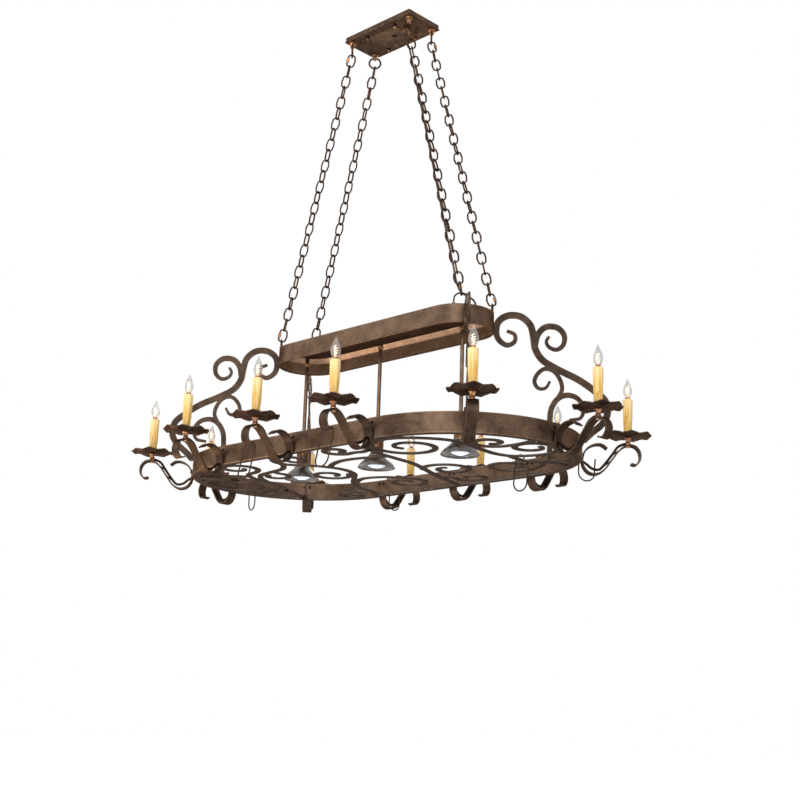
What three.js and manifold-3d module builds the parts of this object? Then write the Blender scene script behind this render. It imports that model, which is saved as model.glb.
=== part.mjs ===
// Hanging pot rack with candle lights: a ceiling plate, four chains, a tray with three downlights,
// scroll brackets, an oval ring with a scrollwork grille, twelve candle arms and six pot hooks.
// Millimetres, +Z up, X along the rack. The origin is the centre of the ceiling plate's top face.
// Most pieces are drawn with z = 0 at the ring's lower edge and lowered together at the end.
// "near" is -Y and "right" is +X.
import * as THREE from "three";
import { mergeVertices } from "three/addons/utils/BufferGeometryUtils.js";
import Module from "manifold-3d";

const wasm = await Module();
wasm.setup();

// ---- driving sizes ----
const GAP = 0.3; // between neighbouring pieces
const DROP = 1523; // ceiling face down to the ring's lower edge

const PLATE = { length: 305, width: 150, height: 20, lip: 5, inset: 2 };
// Ceiling couplings and the rings that hang from them.
const HANGER = {
  x: PLATE.length / 2 - 18.5,
  y: PLATE.width / 2 - 20,
  ring: 19.5,
  ringTop: DROP - PLATE.height - 11,
};
const WIRE = 5; // chain, ring and tray loop wire

const CHAIN = { links: 27, width: 27, lap: 1, facets: 6, sides: 4 };

const TRAY = { half: 334, radius: 107, bottom: 392, top: 452, wall: 5, facets: 12 };
const TRAY_LOOP = { radial: 101, reach: 33, span: 45 };

const RING = { half: 350, radius: 359, height: 60, wall: 5, facets: 24 };
const GRILLE = { thick: 5, border: 20, bar: 19 };
const BRACKET = { thick: 6, tray: 95.1, ring: 359 }; // the lines are drawn for these two radii

const OUTER_LIGHT = TRAY.half + 16;
const LIGHT_X = [-OUTER_LIGHT, 0, OUTER_LIGHT]; // downlights
const ROD = 9.5;
const ARM_X = 329; // outer arms of each long side
const ARM = { reach: 140, tip: 147, tipZ: 0 }; // outwards from the ring band
const BAR = { width: 32, thick: 4.8 }; // flat bar of an arm
const SEAT = { r: RING.radius + ARM.reach, z: 58, cup: 80 }; // where a candle stands on its arm
const DISH = { radius: 69, rim: 91 };
const CANDLE_TOP = 197;
const BULB_TOP = CANDLE_TOP + 67;

const HOOK = { wire: 4.5, bow: 25, tip: 69, tall: 112 };
const CORD = 6;

const rad = THREE.MathUtils.degToRad;
const cos = (degrees) => Math.cos(rad(degrees));
const sin = (degrees) => Math.sin(rad(degrees));
const vec = (x, y, z = 0) => new THREE.Vector3(x, y, z);

// ---- solids ----
function solidOf(geometry) {
  const bare = geometry.clone();
  bare.deleteAttribute("normal");
  bare.deleteAttribute("uv");
  const merged = mergeVertices(bare, 1e-3);
  const mesh = new wasm.Mesh({
    numProp: 3,
    vertProperties: merged.attributes.position.array,
    triVerts: new Uint32Array(merged.index.array),
  });
  return new wasm.Manifold(mesh);
}

const FINE = 0.05; // facets flatter than this are merged

function geometryOf(solid) {
  const mesh = solid.asOriginal().simplify(FINE).getMesh();
  const geometry = new THREE.BufferGeometry();
  geometry.setAttribute("position", new THREE.BufferAttribute(mesh.vertProperties, 3));
  geometry.setIndex(new THREE.BufferAttribute(mesh.triVerts, 1));
  geometry.computeVertexNormals();
  return geometry;
}

const fuse = (pieces) => geometryOf(pieces.map(solidOf).reduce((a, b) => a.add(b)));
const cut = (body, tool) => geometryOf(solidOf(body).subtract(solidOf(tool)));

// Turns a piece drawn along +X to a heading about Z and sets it at x on the centre line.
const stand = (geometry, x, heading) => geometry.rotateZ(rad(heading)).translate(x, 0, 0);

function box(width, depth, height, x, y, z) {
  return new THREE.BoxGeometry(width, depth, height).translate(x, y, z + height / 2);
}

// An upright cylinder from z up.
function post(radius, height, x, y, z, sides = 8) {
  const body = new THREE.CylinderGeometry(radius, radius, height, sides);
  return body.rotateX(Math.PI / 2).translate(x, y, z + height / 2);
}

// A body turned about Z from [radius, z] points that start and end on the axis.
function turned(profile, segments) {
  const points = profile.map(([r, z]) => new THREE.Vector2(r, z));
  return new THREE.LatheGeometry(points, segments).rotateX(Math.PI / 2);
}

// A long oval: two half circles of one radius, joined by straight sides.
function oval(half, radius, segments) {
  const points = [];
  for (const side of [1, -1]) {
    for (let i = 0; i <= segments; i++) {
      const angle = (side > 0 ? -90 : 90) + (180 * i) / segments;
      points.push(new THREE.Vector2(side * half + radius * cos(angle), radius * sin(angle)));
    }
  }
  return points;
}

function slab(outline, z, height, hole) {
  const shape = new THREE.Shape(outline);
  if (hole) shape.holes.push(new THREE.Path(hole));
  const body = new THREE.ExtrudeGeometry(shape, { depth: height, bevelEnabled: false });
  return body.translate(0, 0, z);
}

// Points on a spiral about [x, y], from one radius to another.
function spiral(x, y, from, to, start, sweep) {
  const count = Math.ceil(Math.abs(sweep) / 40);
  return Array.from({ length: count + 1 }, (_, i) => {
    const radius = from + ((to - from) * i) / count;
    const angle = start + (sweep * i) / count;
    return [x + radius * cos(angle), y + radius * sin(angle)];
  });
}

const smooth = (points) =>
  new THREE.CatmullRomCurve3(points.map((p) => vec(...p)), false, "centripetal");

// A flat strip that follows a plane curve. widthAt gives its width at 0 to 1 along the curve.
function strip(points, widthAt, depth, pitch) {
  const curve = smooth(points);
  const steps = Math.ceil(curve.getLength() / pitch);
  const left = [];
  const right = [];
  for (let i = 0; i <= steps; i++) {
    const point = curve.getPointAt(i / steps);
    const along = curve.getTangentAt(i / steps);
    const half = widthAt(i / steps) / 2;
    left.push(new THREE.Vector2(point.x - along.y * half, point.y + along.x * half));
    right.unshift(new THREE.Vector2(point.x + along.y * half, point.y - along.x * half));
  }
  return slab([...left, ...right], -depth / 2, depth);
}

// The same strip standing upright: the curve's points are [radius, z].
const uprightStrip = (...args) => strip(...args).rotateX(Math.PI / 2);

// Width that narrows to a tip at the start, at the end, or at both.
function taper(width, tip, atStart, atEnd) {
  return (s) => {
    const start = atStart ? Math.min(1, s / atStart) : 1;
    const end = atEnd ? Math.min(1, (1 - s) / atEnd) : 1;
    return tip + (width - tip) * Math.min(start, end);
  };
}

// Round wire along a smooth curve.
function wire(points, diameter, sides, steps) {
  const section = Array.from({ length: sides }, (_, i) => {
    const angle = (360 * i) / sides;
    return new THREE.Vector2(cos(angle), sin(angle)).multiplyScalar(diameter / 2);
  });
  const options = { steps, extrudePath: smooth(points), bevelEnabled: false };
  return new THREE.ExtrudeGeometry(new THREE.Shape(section), options);
}

// ---- ceiling plate ----
const corners = [
  ["near_left", -1, -1],
  ["near_right", 1, -1],
  ["far_left", -1, 1],
  ["far_right", 1, 1],
];

// The way a corner's ring and tray loop face: both lie along the tray's edge there.
const alongEdge = (sx, sy) => vec(-sy, sx).normalize();

function ceilingCoupling(x, y) {
  const z = DROP - PLATE.height;
  const profile = [
    [0, z + 1],
    [9, z + 1],
    [9, z - 4],
    [5, z - 7],
    [7.5, z - 10],
    [4.5, z - 14],
    [0, z - 14],
  ];
  return turned(profile.reverse(), 6).translate(x, y, 0);
}

function hangingRing(sx, sy) {
  const ring = new THREE.TorusGeometry(HANGER.ring, WIRE / 2, 4, 12);
  const edge = alongEdge(sx, sy);
  ring.rotateX(Math.PI / 2).rotateZ(Math.atan2(edge.y, edge.x));
  return ring.translate(sx * HANGER.x, sy * HANGER.y, HANGER.ringTop - HANGER.ring);
}

function rectangle(length, width) {
  const x = length / 2;
  const y = width / 2;
  return [[x, y], [-x, y], [-x, -y], [x, -y]].map((p) => new THREE.Vector2(...p));
}

function ceilingPlate() {
  const underside = DROP - PLATE.height;
  const body = rectangle(PLATE.length - 2 * PLATE.inset, PLATE.width - 2 * PLATE.inset);
  const pieces = [
    slab(rectangle(PLATE.length, PLATE.width), underside, PLATE.lip),
    slab(body, underside + 1, PLATE.height - 1),
    post(13, 4, 70, 0, underside - 3, 10),
  ];
  for (const [, sx, sy] of corners) {
    pieces.push(ceilingCoupling(sx * HANGER.x, sy * HANGER.y));
    pieces.push(hangingRing(sx, sy));
    pieces.push(post(5, 8, sx * 64, sy * 50, underside - 7, 6));
  }
  return fuse(pieces);
}

// ---- chains ----
function chainEnds(sx, sy) {
  const reach = TRAY_LOOP.radial / Math.SQRT2;
  const ringBottom = HANGER.ringTop - 2 * HANGER.ring;
  return [
    vec(sx * HANGER.x, sy * HANGER.y, ringBottom),
    vec(sx * (TRAY.half + reach), sy * reach, TRAY.top + TRAY_LOOP.reach),
  ];
}

// One oval link along Y, centred, with its width along X.
function link(length) {
  const radius = (CHAIN.width - WIRE) / 2;
  const body = new THREE.TorusGeometry(radius, WIRE / 2, CHAIN.sides, CHAIN.facets);
  const stretch = length / 2 - radius * cos(180 / CHAIN.facets);
  const places = body.attributes.position;
  for (let i = 0; i < places.count; i++) {
    const y = places.getY(i);
    if (Math.abs(y) > 1) places.setY(i, y + Math.sign(y) * stretch);
  }
  return body;
}

// The sleeve nut of a quick link, on one side of it.
const sleeveNut = () => new THREE.CylinderGeometry(4.2, 4.2, 15, 6).translate(10.5, 0, 0);

function chain(sx, sy) {
  const [top, bottom] = chainEnds(sx, sy);
  const down = bottom.clone().sub(top).normalize();
  const clear = WIRE + GAP; // an end link passes round the ring or loop
  const shared = WIRE - CHAIN.lap;
  const total = top.distanceTo(bottom) + 2 * clear;
  const length = (total + (CHAIN.links - 1) * shared) / CHAIN.links;
  const edge = alongEdge(sx, sy);
  const faceOn = vec(edge.y, -edge.x).addScaledVector(down, -vec(edge.y, -edge.x).dot(down));
  faceOn.normalize();
  const sideOn = faceOn.clone().cross(down);
  const pieces = [];
  for (let i = 0; i < CHAIN.links; i++) {
    const across = i % 2 ? sideOn : faceOn;
    const turn = new THREE.Matrix4().makeBasis(across, down, across.clone().cross(down));
    const middle = -clear + length / 2 + i * (length - shared);
    turn.setPosition(top.clone().addScaledVector(down, middle));
    pieces.push(link(length).applyMatrix4(turn));
    const isEnd = i === 0 || i === CHAIN.links - 1;
    if (isEnd) pieces.push(sleeveNut().applyMatrix4(turn));
  }
  return fuse(pieces);
}

// The lamp cord lies in the valley of one chain between its two free ends. The places are
// [x, y, z], by hand.
const cordRoute = [
  [70, 0, 1499.6],
  [71, -2, 1470],
  [84, -14, 1440],
  [112, -40, 1420],
  [138, -55.5, 1395],
  [152.4, -56.7, 1350],
  [194.4, -59.3, 1200],
  [264.5, -63.5, 950],
  [334.6, -67.8, 700],
  [374, -69, 560],
  [380, -65, 525],
  [384, -45, 496],
  [389, -8, 487],
  [390, 14, 475],
  [390, 15, 455.5],
];
const lampCord = () => wire(cordRoute, CORD, 6, 44);

// ---- tray ----
function trayLoop(sx, sy) {
  const [, apex] = chainEnds(sx, sy);
  const edge = alongEdge(sx, sy);
  const half = TRAY_LOOP.span / 2;
  const spring = apex.z - half * 0.9;
  const leg = (side, z) => [apex.x + side * half * edge.x, apex.y + side * half * edge.y, z];
  const points = [leg(-1, TRAY.top - 3), leg(-1, spring - 6)];
  for (let angle = 150; angle >= 30; angle -= 30) {
    points.push(leg(cos(angle), spring + (apex.z - spring) * sin(angle)));
  }
  points.push(leg(1, spring - 6), leg(1, TRAY.top - 3));
  return wire(points, WIRE, 5, 10);
}

function tray() {
  const shell = slab(oval(TRAY.half, TRAY.radius, TRAY.facets), TRAY.bottom, TRAY.top - TRAY.bottom);
  const pocket = oval(TRAY.half, TRAY.radius - TRAY.wall, TRAY.facets);
  const inside = slab(pocket, TRAY.bottom - 1, TRAY.top - TRAY.bottom - TRAY.wall + 1);
  const pieces = [cut(shell, inside), post(10, 4, 390, 15, TRAY.top - 1, 8)];
  for (const [, sx, sy] of corners) pieces.push(trayLoop(sx, sy));
  return fuse(pieces);
}

// ---- downlights ----
function downlight(x) {
  const top = TRAY.top - TRAY.wall - GAP;
  const bell = [
    [0, 14],
    [54, 14],
    [59, 10],
    [55, 20],
    [40, 35],
    [27, 47],
    [20, 56],
    [19, 108],
    [ROD / 2, 121],
    [ROD / 2, top - 8],
    [9, top - 8],
    [9, top],
    [0, top],
  ];
  return turned(bell, 11).translate(x, 0, 0);
}

// ---- scroll brackets between tray and ring ----
// The tray's edge, from a bracket's upright axis out along the bracket.
function trayEdge() {
  const step = (RING.half - TRAY.half) * cos(45);
  return Math.sqrt(TRAY.radius ** 2 - step ** 2) - step;
}

// Moves a line's upper end with the tray and its foot with the ring.
function reach(line) {
  const atTray = trayEdge() - BRACKET.tray;
  const atRing = RING.radius - BRACKET.ring;
  return line.map(([r, z]) => {
    const share = THREE.MathUtils.smoothstep(z, RING.height, TRAY.bottom);
    return [r + atRing + share * (atTray - atRing), z];
  });
}

function scrollBracket(x, heading) {
  const main = [
    [134, 399], [158, 388], [158, 366], [135, 354], [109, 372], [102, 400], [109, 428],
    [136, 447], [175, 446], [205, 420], [215, 382], [221, 345], [242, 312], [288, 284],
    [352, 253], [400, 220], [432, 190], [438, 150], [421, 118], [387, 88], [351, 50],
  ];
  const upper = [
    [219, 352], [229, 392], [252, 415], [286, 415], [308, 392], [305, 360], [285, 345],
    [262, 353], [254, 370], [263, 386],
  ];
  const thin = [
    [266, 246], [252, 224], [231, 223], [219, 243], [229, 268], [250, 284], [276, 278],
    [296, 252], [302, 222], [290, 195],
  ];
  const lower = [
    [266, GRILLE.thick + GAP], [266, 70], [266, 128], [270, 160], [287, 190], [312, 204],
    [345, 198], [366, 170], [358, 136], [324, 128],
  ];
  const t = BRACKET.thick;
  const plate = fuse([
    uprightStrip(reach(main), taper(21, 10, 0.2, 0), t, 40),
    uprightStrip(reach(upper), taper(19, 9, 0, 0.6), t, 34),
    uprightStrip(reach(thin), taper(13, 8, 0.3, 0), t, 30),
    uprightStrip(reach(lower), taper(17, 9, 0, 0.4), t, 36),
  ]);
  // The main bar ends flat on the ring's edge.
  const foot = cut(plate, box(90, 30, 60, RING.radius + 11, 0, RING.height + GAP - 60));
  // The scroll is let in a little where it is welded to the tray.
  const seat = oval(TRAY.half, TRAY.radius + GAP, TRAY.facets);
  return cut(stand(foot, x, heading), slab(seat, TRAY.bottom - 1, TRAY.top - TRAY.bottom + 1));
}

// ---- oval ring and its grille ----
function ringBand() {
  const inner = oval(RING.half, RING.radius - RING.wall, RING.facets);
  return slab(oval(RING.half, RING.radius, RING.facets), 0, RING.height, inner);
}

// Half the length and width of the ring that the scrolls are drawn for.
const DRAWN_FOR = [709, 359];
const fit = ([x, y]) => [
  (x * (RING.half + RING.radius)) / DRAWN_FOR[0],
  (y * RING.radius) / DRAWN_FOR[1],
];

const scrolls = [
  // right end
  [...spiral(613, 8, 27, 64, 0, 375), [644, 84], [598, 104], [540, 95], [488, 62], [474, 10],
    [480, -50], [492, -120], [492, -200], ...spiral(335, -203, 125, 32, -42, -515)],
  [[692, -66], [610, -50], ...spiral(563, -113, 58, 18, 105, 400)],
  [[486, 62], [479, 100], [479, 140], [505, 185], [530, 235], [532, 294]],
  [[506, 186], [480, 230], ...spiral(390, 185, 84, 24, 45, 450)],
  // middle
  [[40, 342], [90, 200], [120, 120], [150, 50], [175, -20], [187, -110], [200, -200], [240, -280],
    [300, -342]],
  [[132, 88], ...spiral(205, 115, 84, 25, 225, 430)],
  [[96, 186], ...spiral(170, 262, 60, 18, 215, -400)],
  [[-84, -120], [-40, -150], [20, -172], [90, -170], [188, -140]],
  [[226, -254], [180, -232], ...spiral(115, -281, 50, 16, 60, 420)],
  // left of the middle
  [[-345, 342], [-290, 270], [-262, 180], [-215, 110], [-150, 50], [-100, 0], [-76, -60],
    [-84, -120], [-118, -180], ...spiral(-98, -262, 76, 18, 120, 430)],
  [[-108, 8], ...spiral(-180, -30, 68, 22, 20, 430)],
  [[-262, 180], [-200, 110], [-130, 75], [-60, 95], ...spiral(-62, 200, 76, 22, -50, 430)],
  [[-290, 262], [-335, 235], ...spiral(-395, 282, 50, 17, -60, -400)],
  // left end
  [[-690, 100], [-600, 112], [-520, 82], [-470, 20], [-448, -60], [-438, -126], [-400, -186],
    ...spiral(-350, -273, 70, 20, 80, -420)],
  [[-447, -60], [-420, -112], [-370, -158], [-300, -175], [-230, -190], [-180, -230],
    [-150, -290], [-118, -344]],
  [[-290, -174], ...spiral(-345, -120, 55, 20, -30, 300)],
  [[-420, -160], [-470, -208], ...spiral(-580, -75, 132, 25, -65, -480)],
  [[-600, 240], [-545, 150], [-500, 60]],
  [[-560, 172], [-610, 165], ...spiral(-628, 118, 40, 16, 70, 300)],
];

// Short bars under the feet of the four scroll brackets.
const FOOT_R = 268;
const footBars = corners.map(([, sx, sy]) => {
  const at = (r, off) => [sx * (RING.half + r * cos(45) + off), sy * (r * sin(45) - off)];
  return [at(RING.radius - 12, 0), at(FOOT_R + 30, 5), at(FOOT_R, 0), at(FOOT_R - 14, -6)];
});

// The scrollwork: every bar lies flat in one plate, and each meets its neighbours or the border.
function grille() {
  const outer = RING.radius - RING.wall - GAP;
  const border = oval(RING.half, outer, RING.facets);
  const opening = oval(RING.half, outer - GRILLE.border, RING.facets);
  const frame = slab(border, 0, GRILLE.thick, opening);
  const bars = [...scrolls.map((points) => points.map(fit)), ...footBars].map((points) => {
    const bar = strip(points, taper(GRILLE.bar, 13, 0.04, 0.12), GRILLE.thick, 62);
    return bar.translate(0, 0, GRILLE.thick / 2);
  });
  const inside = solidOf(slab(border, 0, GRILLE.thick));
  const plate = solidOf(fuse([frame, ...bars]));
  return geometryOf(plate.intersect(inside));
}

// ---- candle arms ----
// An arm's lines are drawn as [distance out from the ring band, z] for a reach of 140.
const armR = (out) => RING.radius + (out * ARM.reach) / 140;

function armBar() {
  const lean = GAP + BAR.thick / 2;
  const outside = [
    [77, 43], [59, 55], [35, 53], [12, 36], [lean + 0.2, 9], [6, -12], [21, -30], [44, -34],
    [66, -22], [85, 2], [107, 32], [124, 49], [143, 56], [163, 50], [174, 33], [173, 11],
    [161, -3],
  ];
  const line = outside.map(([out, z]) => [Math.max(armR(out), RING.radius + lean + 0.2), z]);
  line.push([armR(ARM.tip), ARM.tipZ]);
  return uprightStrip(line, () => BAR.thick, BAR.width, 36);
}

function lampTube() {
  const line = [[133, 62], [111, 52], [93, 28], [75, 4], [53, -19], [33, -17], [15, -3]];
  const places = line.map(([out, z]) => [armR(out), 0, z]);
  places.push([RING.radius + 5.5, 0, 3]);
  return wire(places, 8, 4, 7);
}

function tie(out, z, turn) {
  const body = new THREE.BoxGeometry(22, 11, 3.5);
  return body.rotateY(rad(turn)).translate(armR(out), 0, z);
}

// A thin dish with a scalloped rim of eight petals.
function candleDish() {
  const { radius, rim } = DISH;
  const profile = [
    [0, SEAT.cup - 1],
    [42, SEAT.cup - 1],
    [radius, rim],
    [0, SEAT.cup + 2],
  ];
  const dish = turned(profile, 16);
  const places = dish.attributes.position;
  for (let i = 0; i < places.count; i++) {
    const [x, y] = [places.getX(i), places.getY(i)];
    if (Math.hypot(x, y) < radius - 1) continue;
    const wave = Math.cos(8 * Math.atan2(y, x));
    places.setXYZ(i, x * (1 + 0.04 * wave), y * (1 + 0.04 * wave), rim + 3 * wave);
  }
  return dish.translate(SEAT.r, 0, 0);
}

function candleArm(x, heading) {
  const pieces = [
    armBar(),
    lampTube(),
    tie(101.5, 32, -37),
    tie(78, 0, -38),
    post(11, SEAT.cup - SEAT.z + 2, SEAT.r, 0, SEAT.z - 1, 8),
    candleDish(),
  ];
  return stand(fuse(pieces), x, heading);
}

function candleSleeve(x, heading) {
  const foot = SEAT.cup + 4 + GAP;
  const profile = [
    [0, foot],
    [12, foot],
    [15, 140],
    [14, CANDLE_TOP],
    [0, CANDLE_TOP],
  ];
  return stand(turned(profile, 8).translate(SEAT.r, 0, 0), x, heading);
}

function bulb(x, heading) {
  const foot = CANDLE_TOP + GAP;
  const profile = [
    [0, foot],
    [8, foot],
    [14.5, foot + 25],
    [8, foot + 48],
    [0, BULB_TOP],
  ];
  return stand(turned(profile, 8).translate(SEAT.r, 0, 0), x, heading);
}

const armSpots = [
  ["near_left", -ARM_X, -90],
  ["near_middle", 0, -90],
  ["near_right", ARM_X, -90],
  ["right_near", RING.half, -45],
  ["right_end", RING.half, 0],
  ["right_far", RING.half, 45],
  ["far_right", ARM_X, 90],
  ["far_middle", 0, 90],
  ["far_left", -ARM_X, 90],
  ["left_far", -RING.half, 135],
  ["left_end", -RING.half, 180],
  ["left_near", -RING.half, 225],
];

// ---- pot hooks ----
// A hook hangs from its pivot at [0, 0]. [u, w] is drawn outwards and up, and its bow is turned
// about the shank.
function hookLine({ loop, centre, from, to, bowTurn }) {
  const points = [];
  const turns = 5;
  for (let i = 0; i <= turns; i++) {
    const angle = from + ((to - from) * i) / turns;
    points.push([loop * cos(angle), 0, centre + loop * sin(angle)]);
  }
  const shank = loop * Math.sign(cos(to));
  const { bow, tip, tall } = HOOK;
  const low = centre + loop + HOOK.wire - tall + bow;
  const place = (out, z) => [shank + out * cos(bowTurn), out * sin(bowTurn), z];
  points.push(place(0, centre - 8), place(0, (centre + low) / 2), place(0, low + 6));
  for (let angle = 170; angle < 375; angle += 34) {
    points.push(place(bow + bow * cos(angle), low + bow * sin(angle)));
  }
  points.push(place(2 * bow, low + tip - bow));
  return points;
}

// The centre of mass of a closed mesh.
function centreOf(solid) {
  const mesh = solid.getMesh();
  const corner = (i) => vec(...mesh.vertProperties.subarray(3 * i, 3 * i + 3));
  const sum = vec(0, 0, 0);
  let volume = 0;
  for (let i = 0; i < mesh.triVerts.length; i += 3) {
    const [a, b, c] = [0, 1, 2].map((k) => corner(mesh.triVerts[i + k]));
    const part = a.dot(b.clone().cross(c)) / 6;
    volume += part;
    sum.addScaledVector(a.add(b).add(c), part / 4);
  }
  return sum.divideScalar(volume);
}

// Turns a hook about its pivot to hang at rest: at a given lean, or with its weight below it.
function hang(hook, lean) {
  const centre = centreOf(solidOf(hook));
  const turn = lean === undefined ? Math.atan2(centre.x, -centre.z) : rad(lean);
  return hook.rotateY(turn);
}

// Round the curled tip of an arm: the loop lies in the arm's plane, the bow across it.
const tipHook = { loop: 13, centre: -7, from: 75, to: 180, bowTurn: -90 };
// Over the ring's upper edge: the shank leans on the ring's outside and the bow opens outwards.
const edgeHook = { loop: 8.25, centre: -4.1, from: 190, to: 0, bowTurn: 0, lean: 2.3 };
// Over a bar of the grille.
const barHook = { loop: 15, centre: -1, from: 0, to: 180, bowTurn: 0 };

const [BAR_X, BAR_Y] = fit([479, 122]); // the grille bar that carries a hook
const ARM_TIP = { r: armR(ARM.tip), z: ARM.tipZ };
const EDGE = { r: RING.radius - RING.wall / 2, z: RING.height };

// [name, kind, x of the turning centre, heading, pivot radius, pivot z, pivot y]
const hookSpots = [
  ["near_middle_arm", tipHook, 0, -90, ARM_TIP.r, ARM_TIP.z, 0],
  ["near_right_arm", tipHook, ARM_X, -90, ARM_TIP.r, ARM_TIP.z, 0],
  ["right_end", edgeHook, RING.half, 52.5, EDGE.r, EDGE.z, 0],
  ["far_side", edgeHook, -296, 90, EDGE.r, EDGE.z, 0],
  ["left_end", edgeHook, -RING.half, 165, EDGE.r, EDGE.z, 0],
  ["grille", barHook, BAR_X, 0, 0, GRILLE.thick / 2, BAR_Y],
];

function potHook([, kind, x, heading, r, z, y]) {
  const body = hang(wire(hookLine(kind), HOOK.wire, 4, 22), kind.lean);
  return stand(body.translate(r, 0, z), x, heading).translate(0, y, 0);
}

// ---- materials ----
function finish(name, colour, metalness, roughness) {
  const material = new THREE.MeshStandardMaterial({ color: colour, metalness, roughness });
  material.name = name;
  return material;
}
const iron = () => finish("bronzed_iron", 0x4a3527, 0.8, 0.45);
const bellBronze = () => finish("bell_bronze", 0x57524c, 0.8, 0.4);
const wax = () => finish("amber_wax", 0xe0a93c, 0, 0.5);
const glass = () => finish("clear_glass", 0xfff0d8, 0, 0.1);
const cordBrown = () => finish("cord_brown", 0x4b3122, 0, 0.7);

// ---- assembly ----
const rack = new THREE.Group();
rack.position.z = -DROP;

function add(name, geometry, material) {
  const mesh = new THREE.Mesh(geometry, material);
  mesh.name = name;
  rack.add(mesh);
}

add("ceiling_plate", ceilingPlate(), iron());
for (const [name, sx, sy] of corners) add(`chain_${name}`, chain(sx, sy), iron());
add("lamp_cord", lampCord(), cordBrown());
add("light_tray", tray(), iron());
for (const x of LIGHT_X) {
  const place = x < 0 ? "left" : x > 0 ? "right" : "middle";
  add(`downlight_${place}`, downlight(x), bellBronze());
}
for (const [name, sx, sy] of corners) {
  const heading = THREE.MathUtils.radToDeg(Math.atan2(sy, sx));
  add(`scroll_bracket_${name}`, scrollBracket(sx * RING.half, heading), iron());
}
add("ring_band", ringBand(), iron());
add("grille", grille(), iron());
for (const [name, x, heading] of armSpots) {
  add(`candle_arm_${name}`, candleArm(x, heading), iron());
  add(`candle_sleeve_${name}`, candleSleeve(x, heading), wax());
  add(`bulb_${name}`, bulb(x, heading), glass());
}
for (const spot of hookSpots) add(`pot_hook_${spot[0]}`, potHook(spot), iron());

const group = new THREE.Group();
group.add(rack);
export default group;
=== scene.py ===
"""Hanging pot rack with candle lights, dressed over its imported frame.

Sizes in the making functions are millimetres with z = 0 at the ring's lower edge, as a smith
would draw the rack. finish_piece() lowers each piece to its place below the ceiling.
"""
import math

import bmesh
import bpy
from mathutils import Matrix, Vector


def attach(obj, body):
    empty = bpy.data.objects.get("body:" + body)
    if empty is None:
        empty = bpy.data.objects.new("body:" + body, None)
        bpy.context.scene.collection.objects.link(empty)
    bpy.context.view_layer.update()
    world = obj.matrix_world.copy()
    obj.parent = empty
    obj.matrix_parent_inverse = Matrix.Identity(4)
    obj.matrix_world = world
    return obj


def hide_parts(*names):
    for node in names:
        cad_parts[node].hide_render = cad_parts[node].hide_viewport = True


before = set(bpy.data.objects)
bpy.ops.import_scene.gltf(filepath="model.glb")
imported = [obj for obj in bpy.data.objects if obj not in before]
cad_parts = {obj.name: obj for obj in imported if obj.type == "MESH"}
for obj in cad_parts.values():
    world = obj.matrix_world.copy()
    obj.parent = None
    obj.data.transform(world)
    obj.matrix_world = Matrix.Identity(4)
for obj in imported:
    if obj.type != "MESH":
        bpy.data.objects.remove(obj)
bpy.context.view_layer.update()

bl_info = {
    "name": "Hanging Pot Rack",
    "version": (1, 0, 0),
    "blender": (4, 5, 0),
    "location": "View3D > Sidebar > Pot Rack",
    "description": "Builds a scrollwork pot rack with candle lights, piece by piece",
    "category": "Add Mesh",
}

MM = 0.001
DROP = 1523  # ceiling face down to the ring's lower edge
GAP = 0.3  # clearance between pieces that part
POLE_R = 0.002  # a pole is drawn as a ring this small, and tidied() closes it
FULL_WEAR = 40  # degrees that an edge turns by where its finish is fully rubbed
WIRE = 5  # chain, ring and tray loop wire

PLATE_X, PLATE_Y, PLATE_Z, PLATE_LIP = 305, 150, 20, 5
UNDERSIDE = DROP - PLATE_Z
HANGER_X, HANGER_Y = 134, 55
STUD_X, STUD_Y = 64, 50
RING_TOP, RING_BEND = 1492, 19.5
LINKS, LINK_WIDTH, LINK_LAP = 27, 27, 1
LINK_BOW, LINK_SHOULDER = 2.6, 1.2  # how far a link's sides stand out
LINK_TWIST = 28  # degrees, at the middle of a chain
NUT_OUT = 10.5  # from a link's centre to its sleeve nut's
TRAY_HALF, TRAY_R, TRAY_LOW, TRAY_HIGH, TRAY_WALL = 334, 107, 392, 452, 5
LOOP_RADIAL, LOOP_REACH, LOOP_SPAN = 101, 33, 45
RING_HALF, RING_R, RING_Z, RING_WALL = 350, 359, 60, 5
BOLT_Y, BOLT_Z = 9, 46
GRILLE_Z, GRILLE_BORDER, GRILLE_BAR = 5, 20, 19
LIGHTS = {"left": -350, "middle": 0, "right": 350}
ROD = 9.5
ARM_X = 329
BAR_WIDTH, BAR_THICK = 32, 4.8
ARM_TIP_R, SEAT_R, CUP_Z, DISH_R = 506, 499, 80, 69
SLEEVE_CORE, SLEEVE_R = 10.5, 14  # wax drips stay outside the core
CANDLE_TOP, BULB_TOP = 197, 264
HOOK_WIRE, HOOK_BOW, HOOK_TIP, HOOK_TALL = 4.5, 25, 69, 112
CORD, CORD_HOLE = 6, 7.2
CORD_OUT, CORD_IN = (70, 0), (390, 15)  # the bushings of the plate and of the tray

CORNERS = {
    "near_left": (-1, -1),
    "near_right": (1, -1),
    "far_left": (-1, 1),
    "far_right": (1, 1),
}
ARMS = {
    "near_left": (-ARM_X, -90),
    "near_middle": (0, -90),
    "near_right": (ARM_X, -90),
    "right_near": (RING_HALF, -45),
    "right_end": (RING_HALF, 0),
    "right_far": (RING_HALF, 45),
    "far_right": (ARM_X, 90),
    "far_middle": (0, 90),
    "far_left": (-ARM_X, 90),
    "left_far": (-RING_HALF, 135),
    "left_end": (-RING_HALF, 180),
    "left_near": (-RING_HALF, 225),
}


# ---------------------------------------------------------------- shapes
def cosd(angle):
    return math.cos(math.radians(angle))


def sind(angle):
    return math.sin(math.radians(angle))


def deselect():
    if bpy.context.object and bpy.context.object.mode != "OBJECT":
        bpy.ops.object.mode_set(mode="OBJECT")
    bpy.ops.object.select_all(action="DESELECT")


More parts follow.
